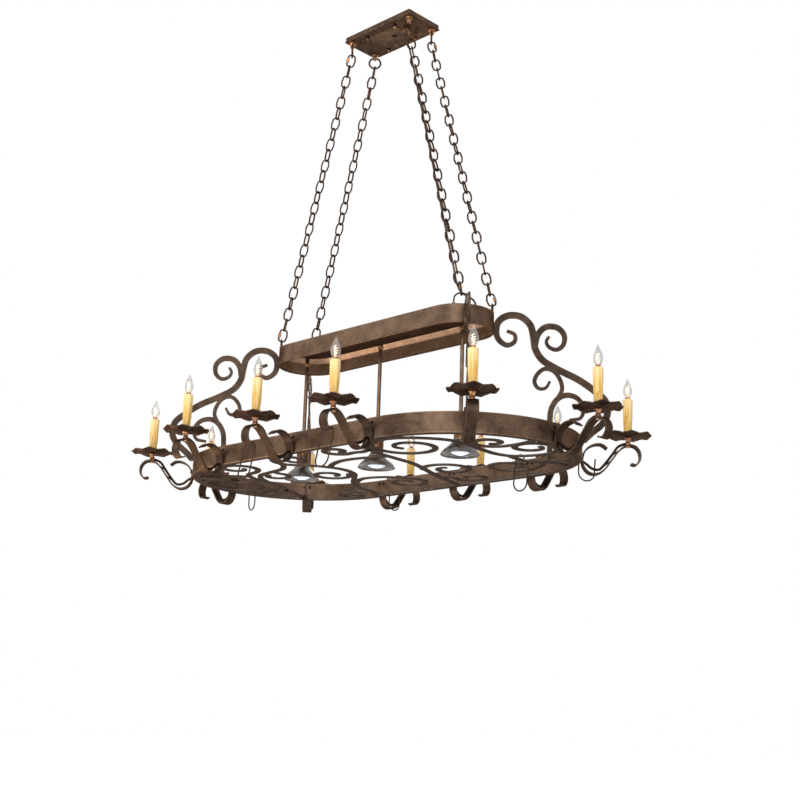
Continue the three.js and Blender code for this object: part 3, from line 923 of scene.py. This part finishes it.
class RACK_OT_ceiling_plate(bpy.types.Operator):
    """Build the ceiling plate with its couplings, rings, nuts and cord bushing"""

    bl_idname = "rack.ceiling_plate"
    bl_label = "Ceiling plate"

    def execute(self, context):
        def place(obj, material):
            finish_piece(obj, material, "ceiling_plate", "ceiling_plate")

        lip = (PLATE_X, PLATE_Y, PLATE_LIP)
        body = (PLATE_X - 4, PLATE_Y - 4, PLATE_Z - 2)
        pan = block("plate_pan", body, (0, 0, DROP - body[2] / 2), 2.5)
        rim = block("plate_rim", lip, (0, 0, UNDERSIDE + PLATE_LIP / 2), 1.6)
        slots = [((0, -STUD_Y), (106, 3)), ((STUD_X, 0), (3, 78))]
        for (x, y), (wide, deep) in slots:
            rim = cut(rim, block("slot", (wide, deep, 6), (x, y, UNDERSIDE), 0.5))
        place(joined("plate_pan", [pan, rim]), "plate_bronze")
        knockout = [[0, -0.8], [9, -0.8], [10.2, -0.4], [10.4, 1], [0, 1]]
        plug = moved(turned("plate_knockout", knockout), 12, 2, UNDERSIDE)
        place(plug, "dark_iron")

        knobs = [
            [0, 1], [12, 1], [12.6, -1], [12, -3.6], [8.6, -5.4], [5.8, -7], [5.8, -8.6],
            [8, -10.4], [8.6, -13], [8, -16], [5.6, -18.6], [3, -19.8], [0, -20],
        ]
        coupling = turned("plate_couplings", knobs)
        spots = at_corners(HANGER_X, HANGER_Y, UNDERSIDE)
        place(spread(coupling, "plate_couplings", spots), "rubbed_copper")

        ring = upright(torus("plate_rings", RING_BEND, WIRE + 1.4, 40))
        spots = hung(at_corners(HANGER_X, HANGER_Y, RING_TOP - RING_BEND))
        place(spread(ring, "plate_rings", spots), "wire_iron")

        dome = [[0, 1], [6.4, 1], [6.4, -1], [5, -1.6], [5, -4.6], [3.6, -6.4], [0, -7]]
        nuts = turned("plate_nuts", dome, 18)
        spots = at_corners(STUD_X, STUD_Y, UNDERSIDE)
        place(spread(nuts, "plate_nuts", spots), "dark_iron")
        stud = [[0, -6], [3.2, -6], [3.2, -10.6], [2.4, -12], [0, -12.2]]
        tips = turned("plate_nut_tips", stud, 14)
        place(spread(tips, "plate_nut_tips", spots), "rubbed_copper")

        bushing = [
            [7.4, 1], [13, 1], [13.4, -1], [12.4, -2.8], [10.6, -3], [9.4, -1.6], [8, -2.8],
            [7.4, -2.6],
        ]
        ring = turned("plate_bushing", bushing, closed=True)
        place(moved(ring, *CORD_OUT, UNDERSIDE), "rubbed_copper")
        return {"FINISHED"}


def chain_line(sx, sy):
    """A chain's top and bottom centres, and the way down."""
    reach = LOOP_RADIAL / math.sqrt(2)
    top = Vector((sx * HANGER_X, sy * HANGER_Y, RING_TOP - 2 * RING_BEND))
    bottom = Vector((sx * (TRAY_HALF + reach), sy * reach, TRAY_HIGH + LOOP_REACH))
    return top, bottom, (bottom - top).normalized()


def link_places(sx, sy):
    """The length of a link and the matrix of each link of a chain."""
    top, bottom, down = chain_line(sx, sy)
    clear, shared = WIRE + GAP, WIRE - LINK_LAP
    total = (bottom - top).length + 2 * clear
    link = (total + (LINKS - 1) * shared) / LINKS
    edge = Vector((-sy, sx, 0)).normalized()
    face = Vector((edge.y, -edge.x, 0))
    face = (face - down * face.dot(down)).normalized()
    places = []
    for i in range(LINKS):
        across = face.cross(down) if i % 2 else face
        middle = top + down * (link / 2 - clear + i * (link - shared))
        turn = Matrix((across, down, across.cross(down))).transposed().to_4x4()
        places.append(Matrix.Translation(middle * MM) @ turn)
    return link, places


class RACK_OT_chains(bpy.types.Operator):
    """Hang the four chains, each with a sleeve nut on its end links"""

    bl_idname = "rack.chains"
    bl_label = "Chains"

    def execute(self, context):
        facets = context.scene.rack_sizes.link_facets
        link, _ = link_places(1, 1)
        bend = (LINK_WIDTH - WIRE) / 2
        master = torus("chain_link", bend, WIRE + 0.9, facets, 6)
        waist, flank = 0.1 * MM, 5 * MM  # what lies nearer than these stays where it is
        editing(master)
        for side in (1, -1):
            chosen(master, lambda number, place: place.y * side > waist)
            bpy.ops.transform.translate(value=(0, side * (link / 2 - bend + 0.2) * MM, 0))
        for side in (1, -1):
            chosen(master, lambda number, place: place.x * side > 0 and abs(place.y) < waist)
            bpy.ops.transform.translate(value=(side * LINK_BOW * MM, 0, 0))
            chosen(master, lambda number, place: place.x * side > flank and abs(place.y) >= waist)
            bpy.ops.transform.translate(value=(side * LINK_SHOULDER * MM, 0, 0))
        bpy.ops.object.mode_set(mode="OBJECT")
        sleeve = [[2.2, -8], [3.6, -8], [4.4, -7], [4.4, 7], [3.6, 8], [2.2, 8]]
        nut = turned("sleeve_nut", sleeve, 6, 20)
        nut.data.transform(at(NUT_OUT, 0) @ spun(90, "X"))
        for corner, (sx, sy) in CORNERS.items():
            body = f"chain_{corner}"
            _, places = link_places(sx, sy)
            # a slack twist that dies out at both ends, as a hung chain takes up
            slack = [LINK_TWIST * sind(180 * i / (LINKS - 1)) for i in range(LINKS)]
            spots = [place @ spun(turn, "Y") for place, turn in zip(places, slack)]
            links = [copied(master, "link", spot) for spot in spots]
            finish_piece(joined(f"{body}_links", links), "wire_iron", body, body)
            nuts = [copied(nut, "nut", places[0]), copied(nut, "nut", places[-1])]
            finish_piece(joined(f"{body}_sleeve_nuts", nuts), "rubbed_copper", body, body)
        scrap(master, nut)
        return {"FINISHED"}


# ---------------------------------------------------------------- tray and downlights
class RACK_OT_light_tray(bpy.types.Operator):
    """Build the oval light tray with its hanging loops and cord bushing"""

    bl_idname = "rack.light_tray"
    bl_label = "Light tray"

    def execute(self, context):
        def place(obj, material):
            finish_piece(obj, material, "light_tray")

        inner, low, high = TRAY_R - TRAY_WALL, TRAY_LOW, TRAY_HIGH
        roof = high - TRAY_WALL
        wall = [
            [60, roof], [inner - 14, roof], [inner, roof - 13], [inner, low + 4],
            [inner - 1.4, low + 2.4], [inner - 0.6, low + 0.5], [inner + 1.6, low - 0.2],
            [TRAY_R - 0.2, low], [TRAY_R + 0.9, low + 1.6], [TRAY_R + 0.2, low + 3.6],
            [TRAY_R, low + 6], [TRAY_R, high - 2.4], [TRAY_R - 0.8, high - 0.7],
            [TRAY_R - 2.4, high], [60, high],
        ]
        shell = turned("tray_shell", wall, 128, half=TRAY_HALF)
        bore = [[0, roof - 4], [CORD_HOLE, roof - 4], [CORD_HOLE, high + 4], [0, high + 4]]
        hole = moved(turned("cord_hole", bore), *CORD_IN)
        place(cut(shell, hole), "band_bronze")
        # A thin band over the tray's inner walls in lit bronze, a lighter copy of the band bronze:
        # painted light from the candles.
        painted_light_band = [
            [inner - 0.6, roof - 15], [inner - 0.6, low + 5], [inner + 0.6, low + 5],
            [inner + 0.6, roof - 15],
        ]
        place(turned("tray_painted_light_band", painted_light_band, 128, closed=True, half=TRAY_HALF), "lit_bronze")
        # A strip over the chamfer between roof and inner wall, in a much lighter copy of the band
        # bronze: a painted highlight along the fold.
        fold = [
            [inner - 14.6, roof - 0.8], [inner - 0.9, roof - 13.6], [inner - 0.9, roof - 16],
            [inner + 0.6, roof - 16], [inner + 0.6, roof - 12], [inner - 12, roof + 0.6],
        ]
        place(turned("tray_fold_highlight", fold, 128, closed=True, half=TRAY_HALF), "bright_bronze")

        half = LOOP_SPAN / 2
        apex = high + LOOP_REACH
        spring = apex - half * 0.9
        line = [(-half, 0, high - 3), (-half, 0, spring - 6)]
        line += [
            (half * cosd(turn), 0, spring + (apex - spring) * sind(turn))
            for turn in range(150, 29, -15)
        ]
        line += [(half, 0, spring - 6), (half, 0, high - 3)]
        loop = wire("tray_loops", smooth(line, 3), WIRE, 10, soft=False)
        _, bottom, _ = chain_line(1, 1)
        spots = hung(at_corners(bottom.x, bottom.y, 0))
        place(spread(loop, "tray_loops", spots), "wire_iron")
        collar = [[2, 0], [4.6, 0], [5, 2.5], [4, 3.6], [2, 3.6]]
        feet = turned("tray_loop_feet", collar, 18)
        both = [copied(feet, "foot", at(side * half, 0, high)) for side in (1, -1)]
        scrap(feet)
        place(spread(joined("tray_loop_feet", both), "tray_loop_feet", spots), "rubbed_copper")
        bushing = [[6.8, -1], [12, -1], [12.4, 1.6], [11, 3.6], [8, 3.6], [6.8, 2.4]]
        ring = turned("tray_bushing", bushing, closed=True)
        place(moved(ring, *CORD_IN, high), "rubbed_copper")
        return {"FINISHED"}


class RACK_OT_downlights(bpy.types.Operator):
    """Hang the three bell downlights on their rods"""

    bl_idname = "rack.downlights"
    bl_label = "Downlights"

    def execute(self, context):
        ribs = context.scene.rack_sizes.neck_ribs
        top = TRAY_HIGH - TRAY_WALL - GAP
        bell = [
            [49, 17], [53.5, 14.5], [56.5, 11.5], [58.4, 10.2], [59.2, 11.4], [58.2, 13.8],
            [56.4, 17], [54.4, 20.6], [50, 26], [45, 30.6], [40, 35], [34, 40.4], [29.6, 44.4],
            [27, 47.4], [26.6, 50], [24.6, 52], [22.6, 54], [22, 57],
        ]
        neck = [[12, 56], [20.4, 56]]
        pitch = 48 / ribs
        for i in range(ribs):
            z = 58 + i * pitch
            neck += [[20, z + 0.3], [20.6, z + 1.2], [20.6, z + pitch * 0.5], [20, z + pitch * 0.6]]
            neck += [[17.6, z + pitch * 0.72], [17.6, z + pitch * 0.94]]
        neck += [[19.4, 106.6], [19, 108.4], [15, 112], [10.4, 115.4], [7.4, 118.6], [6, 122]]
        wide = ROD / 2 + 1.4
        rod = [
            [3, 118], [wide, 121], [wide, 250], [wide, top - 44], [7, top - 43],
            [7, top - 9], [10.6, top - 8], [12, top - 4], [12, top - 1.2], [10, top],
        ]
        collar = [
            [5, top - 50], [7.6, top - 49.6], [8.6, top - 48], [8.6, top - 43], [10.4, top - 41.6],
            [10.4, top - 39.4], [9, top - 38.6], [5, top - 38.6],
        ]
        core = [[0, 12.4], [8, 12.7], [15, 13.4], [15, 16], [0, 16]]
        rim = [[14.6, 13.4], [22, 14.8], [27, 17], [27, 20], [14.6, 20]]
        cone = [
            [27.4, 21], [30, 20.4], [40, 18.8], [49, 16.8], [52.6, 15.4], [52.8, 17.4], [49, 19],
            [27.4, 23],
        ]
        # part, profile, facets, whether its profile closes, finish
        parts = [
            ("bell", bell, 56, False, "bell_bronze"),
            ("neck", neck, 40, False, "neck_copper"),
            ("rod", rod, 20, False, "band_bronze"),
            ("collar", collar, 24, False, "rubbed_copper"),
            ("reflector", cone, 56, True, "reflector"),
            ("lens_rim", rim, 48, True, "lens_rim"),
            ("lens", core, 48, False, "cool_lens"),
        ]
        for side, x in LIGHTS.items():
            node = f"downlight_{side}"
            for part, profile, facets, closed, material in parts:
                obj = turned(f"{node}_{part}", profile, facets, closed=closed)
                finish_piece(moved(obj, x), material, node)
        return {"FINISHED"}


# ---------------------------------------------------------------- scroll brackets
def bar_settings(context):
    """The rounding and the ring spacing of forged bars, in millimetres."""
    sizes = context.scene.rack_sizes
    return sizes.edge_round / MM, sizes.bar_pitch / MM


# A bracket's bars on [distance from the turning centre, height]
BRACKET_MAIN = [
    (134, 399), (158, 388), (158, 366), (135, 354), (109, 372), (102, 400), (109, 428),
    (136, 447), (175, 446), (205, 420), (215, 382), (221, 345), (242, 312), (288, 284),
    (352, 253), (400, 220), (432, 190), (438, 150), (421, 118), (387, 88), (351, 50),
]
BRACKET_UPPER = [
    (219, 352), (229, 392), (252, 415), (286, 415), (308, 392), (305, 360), (285, 345),
    (262, 353), (254, 370), (263, 386),
]
BRACKET_THIN = [
    (266, 246), (252, 224), (231, 223), (219, 243), (229, 268), (250, 284), (276, 278),
    (296, 252), (302, 222), (290, 195),
]
BRACKET_LOWER = [
    (266, 5.3), (266, 70), (266, 128), (270, 160), (287, 190), (312, 204), (345, 198),
    (366, 170), (358, 136), (324, 128),
]


class RACK_OT_scroll_brackets(bpy.types.Operator):
    """Forge the four scroll brackets between the tray and the ring"""

    bl_idname = "rack.scroll_brackets"
    bl_label = "Scroll brackets"

    def execute(self, context):
        corner, pitch = bar_settings(context)
        bars = [
            ("main", BRACKET_MAIN, taper(21, 10, 0.2, 0), 6),
            ("upper", BRACKET_UPPER, taper(19, 9, 0, 0.6), 5.6),
            ("thin", BRACKET_THIN, taper(13, 8, 0.3, 0), 5.2),
            ("lower", BRACKET_LOWER, taper(17, 9, 0, 0.4), 5.8),
        ]
        made = []
        for name, line, width_at, thick in bars:
            bar = upright(flat_bar(name, line, width_at, thick, pitch, corner))
            if name == "main":
                editing(bar)
                bpy.ops.mesh.bisect(
                    plane_co=(0, 0, (RING_Z + GAP) * MM),
                    plane_no=(0, 0, 1),
                    clear_inner=True,
                    use_fill=True,
                )
                bar = tidied(bar)
            made.append(bar)
        master = joined("scroll_bracket", made)
        for name, (sx, sy) in CORNERS.items():
            node = f"scroll_bracket_{name}"
            heading = math.degrees(math.atan2(sy, sx))
            bar = copied(master, f"{node}_bars", stood(sx * RING_HALF, heading))
            finish_piece(bar, "bronzed_iron", node)
        scrap(master)
        return {"FINISHED"}


# ---------------------------------------------------------------- ring and grille
def hoop(name, outer, inner, height, edge):
    """A flat oval hoop with its four edges broken."""
    profile = [
        [outer - edge, 0], [outer, edge], [outer, height - edge], [outer - edge, height],
        [inner + edge, height], [inner, height - edge], [inner, edge], [inner + edge, 0],
    ]
    return turned(name, profile, 160, closed=True, half=RING_HALF)


class RACK_OT_ring_band(bpy.types.Operator):
    """Roll the oval ring band with the bolts that hold the arms"""

    bl_idname = "rack.ring_band"
    bl_label = "Ring band"

    def execute(self, context):
        inner = RING_R - RING_WALL
        ring = hoop("ring_band_hoop", RING_R, inner, RING_Z, 1)
        finish_piece(ring, "band_bronze", "ring_band")
        head = [[0, 2.6], [3.4, 2.4], [5, 1.2], [5.4, -0.6], [0, -0.6]]
        bolt = turned("ring_bolts", head, 16)
        bolt.data.transform(spun(90, "Y"))
        spots = []
        for x, heading in ARMS.values():
            for side in (-BOLT_Y, BOLT_Y):
                outside = stood(x, heading) @ at(RING_R, side, BOLT_Z)
                inside = stood(x, heading) @ at(inner, side, BOLT_Z)
                spots += [outside, inside @ spun(180, "Z")]
        finish_piece(spread(bolt, "ring_bolts", spots), "tube_iron", "ring_band")
        return {"FINISHED"}


# Bars of the grille, seen from above
SCROLLS = [
    # right end
    [*spiral(613, 8, 27, 64, 0, 375), (644, 84), (598, 104), (540, 95), (488, 62), (474, 10),
     (480, -50), (492, -120), (492, -200), *spiral(335, -203, 125, 32, -42, -515)],
    [(692, -66), (610, -50), *spiral(563, -113, 58, 18, 105, 400)],
    [(486, 62), (479, 100), (479, 140), (505, 185), (530, 235), (532, 294)],
    [(506, 186), (480, 230), *spiral(390, 185, 84, 24, 45, 450)],
    # middle
    [(40, 342), (90, 200), (120, 120), (150, 50), (175, -20), (187, -110), (200, -200),
     (240, -280), (300, -342)],
    [(132, 88), *spiral(205, 115, 84, 25, 225, 430)],
    [(96, 186), *spiral(170, 262, 60, 18, 215, -400)],
    [(-84, -120), (-40, -150), (20, -172), (90, -170), (188, -140)],
    [(226, -254), (180, -232), *spiral(115, -281, 50, 16, 60, 420)],
    # left of the middle
    [(-345, 342), (-290, 270), (-262, 180), (-215, 110), (-150, 50), (-100, 0), (-76, -60),
     (-84, -120), (-118, -180), *spiral(-98, -262, 76, 18, 120, 430)],
    [(-108, 8), *spiral(-180, -30, 68, 22, 20, 430)],
    [(-262, 180), (-200, 110), (-130, 75), (-60, 95), *spiral(-62, 200, 76, 22, -50, 430)],
    [(-290, 262), (-335, 235), *spiral(-395, 282, 50, 17, -60, -400)],
    # left end
    [(-690, 100), (-600, 112), (-520, 82), (-470, 20), (-448, -60), (-438, -126), (-400, -186),
     *spiral(-350, -273, 70, 20, 80, -420)],
    [(-447, -60), (-420, -112), (-370, -158), (-300, -175), (-230, -190), (-180, -230),
     (-150, -290), (-118, -344)],
    [(-290, -174), *spiral(-345, -120, 55, 20, -30, 300)],
    [(-420, -160), (-470, -208), *spiral(-580, -75, 132, 25, -65, -480)],
    [(-600, 240), (-545, 150), (-500, 60)],
    [(-560, 172), (-610, 165), *spiral(-628, 118, 40, 16, 70, 300)],
]
FOOT_R = 268


def foot_bars():
    """Short bars under the feet of the scroll brackets."""
    steps = [(RING_R - 12, 0), (FOOT_R + 30, 5), (FOOT_R, 0), (FOOT_R - 14, -6)]
    bar = [(RING_HALF + r * cosd(45) + off, r * sind(45) - off) for r, off in steps]
    return [[(sx * x, sy * y) for x, y in bar] for sx, sy in CORNERS.values()]


class RACK_OT_grille(bpy.types.Operator):
    """Weld the scrollwork grille inside the ring"""

    bl_idname = "rack.grille"
    bl_label = "Scrollwork grille"

    def execute(self, context):
        corner, pitch = bar_settings(context)
        outer = RING_R - RING_WALL - GAP
        pieces = [hoop("grille_border", outer, outer - GRILLE_BORDER, GRILLE_Z, 0.8)]
        width_at = taper(GRILLE_BAR, 13, 0.04, 0.12)
        for i, line in enumerate(SCROLLS + foot_bars()):
            # neighbouring bars differ a little in level, so that no two faces share a plane
            thick = GRILLE_Z - 0.25 - 0.1 * (i % 4)
            bar = flat_bar("grille_bar", line, width_at, thick, pitch * 1.4, corner)
            pieces.append(moved(bar, z=GRILLE_Z / 2))
        grille = joined("grille_scrollwork", pieces)
        finish_piece(grille, "grille_iron", "grille")
        return {"FINISHED"}


# ---------------------------------------------------------------- arms, candles and bulbs
# A candle arm's bar and tube on [distance from the turning centre, height]
ARM_BAR = [
    (436, 43), (418, 55), (394, 53), (371, 36), (361.9, 9), (365, -12), (380, -30), (403, -34),
    (425, -22), (444, 2), (466, 32), (483, 49), (502, 56), (522, 50), (533, 33), (532, 11),
    (520, -3), (ARM_TIP_R, 0),
]
ARM_TUBE = [
    (492, 62), (470, 52), (452, 28), (434, 4), (412, -19), (392, -17), (374, -3), (364.5, 3),
]


def placed_round(master, name):
    """A copy of a piece at each arm, with the arm's name. The master itself goes."""
    for arm, (x, heading) in ARMS.items():
        yield arm, copied(master, f"{name}_{arm}", stood(x, heading))
    scrap(master)


class RACK_OT_candle_arms(bpy.types.Operator):
    """Forge the twelve candle arms with their tubes, ties, cups and dishes"""

    bl_idname = "rack.candle_arms"
    bl_label = "Candle arms"

    @staticmethod
    def dish(sizes):
        """A shallow dish with uneven scallops that grow towards its rim."""
        profile = [
            [0, 78.6], [12, 78.6], [26, 78.8], [36, 79.4], [42, 80.4], [48, 82.2], [54, 84.4],
            [60, 86.0], [64.6, 86.3], [67.6, 85], [68.8, 84.4], [69.7, 85.2], [68.6, 87],
            [65, 88.2], [60, 87.7], [54, 86.1], [48, 83.9], [42, 82.1], [36, 81.1], [26, 80.5],
            [12, 80.3], [0, 80.3],
        ]
        dish = turned("candle_dish", profile, sizes.petals * 8, 50)
        rise = sizes.petal_rise
        for vertex in dish.data.vertices:
            x, y, _ = vertex.co
            out = min(1, math.hypot(x, y) / (DISH_R * MM))
            turn = math.atan2(y, x)
            wave = math.cos(sizes.petals * turn)
            fold = math.cos(3 * sizes.petals * turn + 0.7)
            drift = math.cos(3 * turn + 0.9)
            share = max(0, out * 1.6 - 0.6)
            flare = 1 + (0.018 * wave + 0.01 * drift) * share
            vertex.co.x *= flare
            vertex.co.y *= flare
            vertex.co.z += rise * share * (wave * share + 0.2 * fold + 0.35 * drift)
        return moved(dish, SEAT_R)

    def execute(self, context):
        corner, pitch = bar_settings(context)
        bar = flat_bar("arm_bar", ARM_BAR, lambda s: BAR_THICK, BAR_WIDTH, pitch * 0.8, corner)
        tube = [(r, 0, z) for r, z in ARM_TUBE]
        cup = [
            [5, 50], [8.4, 50], [9, 51.4], [9, 53.6], [8, 54.6], [5, 55], [5, 57.4], [8.6, 58],
            [9.4, 59], [9.4, 61], [8.2, 62], [7.6, 63], [7.4, 69], [7.6, 75], [8.6, 77],
            [10.6, 78.2], [11, 80], [5, 80],
        ]
        tie = (22, 11, 3.5)
        ties = [block("tie", tie, (460.5, 0, 32), 1, -37), block("tie", tie, (437, 0, 0), 1, -38)]
        groups = [
            ("arm_bar", upright(bar), "bronzed_iron"),
            ("arm_tube", wire("arm_tube", smooth(tube, 4), 8, 12), "tube_iron"),
            ("arm_ties", joined("arm_ties", ties), "tube_iron"),
            ("arm_cup", moved(turned("arm_cup", cup, 36), SEAT_R), "rubbed_copper"),
            ("arm_dish", self.dish(context.scene.rack_sizes), "dish_iron"),
        ]
        for name, master, material in groups:
            for arm, obj in placed_round(master, name):
                finish_piece(obj, material, f"candle_arm_{arm}")
        return {"FINISHED"}


DRIPS = [(5, 0.4, 128), (7, 1.7, 148), (3, 2.9, 112)]  # runs round a sleeve, phase, lowest end


class RACK_OT_candle_sleeves(bpy.types.Operator):
    """Pour the candle sleeves with their wax drips"""

    bl_idname = "rack.candle_sleeves"
    bl_label = "Candle sleeves"

    def execute(self, context):
        depth = context.scene.rack_sizes.drip_depth
        foot = CUP_Z + 4 + GAP
        profile = [[0, foot], [11.6, foot], [12.4, foot + 1]]
        profile += [[12.4 + 1.2 * (z - 88) / 100, z] for z in range(88, 193, 3)]
        profile += [[14.2, 194], [13.7, 196.2], [12.4, CANDLE_TOP], [9, 196], [0, 195.6]]
        sleeve = turned("candle_sleeve", profile, 56, 60)
        thickness = sleeve.data.attributes.new("drip", "FLOAT", "POINT")
        for vertex in sleeve.data.vertices:
            x, y, z = vertex.co
            if math.hypot(x, y) < SLEEVE_CORE * MM:
                continue
            turn = math.atan2(y, x)
            drip = 0
            for lobes, start, low in DRIPS:
                run = min(1, max(0, (z / MM - low - 12 * math.sin(2 * turn + start)) / 6))
                drip += max(0, math.cos(lobes * turn + start)) ** 2 * run
            thickness.data[vertex.index].value = drip
            swell = 1 + min(drip, 1.2) * depth / (SLEEVE_R * MM) * 0.75
            vertex.co.x *= swell
            vertex.co.y *= swell
        for arm, obj in placed_round(moved(sleeve, SEAT_R), "candle_wax"):
            finish_piece(obj, "amber_wax", f"candle_sleeve_{arm}")
        return {"FINISHED"}


class RACK_OT_bulbs(bpy.types.Operator):
    """Set a flame bulb with a lit filament on each candle"""

    bl_idname = "rack.bulbs"
    bl_label = "Flame bulbs"

    def execute(self, context):
        outline = [
            (6.4, 200), (7.2, 202), (9.6, 206), (12.4, 212), (14, 218), (14.5, 223), (13.8, 229),
            (12, 236), (9.4, 243), (6.6, 250), (3.8, 256.6), (1.6, 261.4), (0.01, BULB_TOP),
        ]
        glass = [[0, 200], *([place.x, place.y] for place in smooth(outline, 2.6))]
        base = [
            [0, 196.6], [7.6, 196.6], [8, 197.4], [7.8, 198.6], [8.2, 199.6], [7.8, 200.6],
            [8.2, 201.6], [7.6, 202.8], [5, 203], [0, 203],
        ]
        stem = [[0, 203], [3.2, 203], [3, 208], [1.6, 214], [1.2, 222], [0, 222.6]]
        coil = [
            (4.4 * cosd(turn), 4.4 * sind(turn), 214 + 20 * turn / 1080)
            for turn in range(0, 1081, 45)
        ]
        coil = [(1, 0, 206)] + coil + [(0, 1, 238)]
        parts = [
            ("bulb_glass", turned("bulb_glass", glass, 40, 80), "clear_glass"),
            ("bulb_base", turned("bulb_base", base, 24), "rubbed_copper"),
            ("bulb_stem", turned("bulb_stem", stem, 12), "warm_glow"),
            ("bulb_filament", wire("bulb_filament", smooth(coil, 2.5), 1.5, 6), "warm_filament"),
        ]
        for name, master, material in parts:
            for arm, obj in placed_round(moved(master, SEAT_R), name):
                finish_piece(obj, material, f"bulb_{arm}")
        return {"FINISHED"}


# ---------------------------------------------------------------- pot hooks
# kind of hook: its lean in degrees and the bends of its wire
TIP_HOOK = (-11.98, dict(loop=13, centre=-7, start=75, stop=180, bow_turn=-90))
EDGE_HOOK = (2.3, dict(loop=8.25, centre=-4.1, start=190, stop=0, bow_turn=0))
BAR_HOOK = (6.95, dict(loop=15, centre=-1, start=0, stop=180, bow_turn=0))
EDGE_R = RING_R - RING_WALL / 2
# kind of hook, x of the turning centre, heading, and its pivot's radius, height and offset
HOOKS = {
    "near_middle_arm": (TIP_HOOK, 0, -90, ARM_TIP_R, 0, 0),
    "near_right_arm": (TIP_HOOK, ARM_X, -90, ARM_TIP_R, 0, 0),
    "right_end": (EDGE_HOOK, RING_HALF, 52.5, EDGE_R, RING_Z, 0),
    "far_side": (EDGE_HOOK, -296, 90, EDGE_R, RING_Z, 0),
    "left_end": (EDGE_HOOK, -RING_HALF, 165, EDGE_R, RING_Z, 0),
    "grille": (BAR_HOOK, 479, 0, 0, GRILLE_Z / 2, 122),
}


def hook_line(loop, centre, start, stop, bow_turn):
    """A hook's wire from its loop, down its shank and round its bow, about its pivot."""
    line = []
    for i in range(11):
        turn = start + (stop - start) * i / 10
        line.append((loop * cosd(turn), 0, centre + loop * sind(turn)))
    shank = math.copysign(loop, cosd(stop))
    low = centre + loop + HOOK_WIRE - HOOK_TALL + HOOK_BOW

    def place(out, z):
        return shank + out * cosd(bow_turn), out * sind(bow_turn), z

    line += [place(0, centre - 8), place(0, (centre + low) / 2), place(0, low + 6)]
    for turn in range(170, 375, 17):
        line.append(place(HOOK_BOW + HOOK_BOW * cosd(turn), low + HOOK_BOW * sind(turn)))
    line.append(place(2 * HOOK_BOW, low + HOOK_TIP - HOOK_BOW))
    return line


class RACK_OT_pot_hooks(bpy.types.Operator):
    """Hang the six pot hooks"""

    bl_idname = "rack.pot_hooks"
    bl_label = "Pot hooks"

    def execute(self, context):
        for name, ((lean, bends), x, heading, radius, z, offset) in HOOKS.items():
            node = f"pot_hook_{name}"
            hook = wire(f"{node}_wire", smooth(hook_line(**bends), 3), HOOK_WIRE, 12)
            pivot = at(0, offset) @ stood(x, heading) @ at(radius, 0, z)
            hook.data.transform(pivot @ spun(lean, "Y"))
            finish_piece(hook, "wire_iron", node, node)
        return {"FINISHED"}


# ---------------------------------------------------------------- panel
OPERATORS = [
    RACK_OT_stage,
    RACK_OT_lamp_cord,
    RACK_OT_ceiling_plate,
    RACK_OT_chains,
    RACK_OT_light_tray,
    RACK_OT_downlights,
    RACK_OT_scroll_brackets,
    RACK_OT_ring_band,
    RACK_OT_grille,
    RACK_OT_candle_arms,
    RACK_OT_candle_sleeves,
    RACK_OT_bulbs,
    RACK_OT_pot_hooks,
]


class RACK_PT_panel(bpy.types.Panel):
    """Lists the rack's pieces, sizes and finishes"""

    bl_idname = "RACK_PT_panel"
    bl_label = "Pot Rack"
    bl_space_type = "VIEW_3D"
    bl_region_type = "UI"
    bl_category = "Pot Rack"

    def draw(self, context):
        column = self.layout.column(align=True)
        for group in (context.scene.rack_sizes, context.scene.rack_finishes):
            for name in group.__annotations__:
                column.prop(group, name)
            column.separator()
        for operator in OPERATORS:
            column.operator(operator.bl_idname)


CLASSES = [RackSizes, RackFinishes, *OPERATORS, RACK_PT_panel]


def register():
    for cls in CLASSES:
        bpy.utils.register_class(cls)
    bpy.types.Scene.rack_sizes = bpy.props.PointerProperty(type=RackSizes)
    bpy.types.Scene.rack_finishes = bpy.props.PointerProperty(type=RackFinishes)


def unregister():
    del bpy.types.Scene.rack_finishes
    del bpy.types.Scene.rack_sizes
    for cls in reversed(CLASSES):
        bpy.utils.unregister_class(cls)


def main():
    register()
    for operator in OPERATORS:
        group, name = operator.bl_idname.split(".")
        getattr(getattr(bpy.ops, group), name)()


if __name__ == "__main__":
    main()
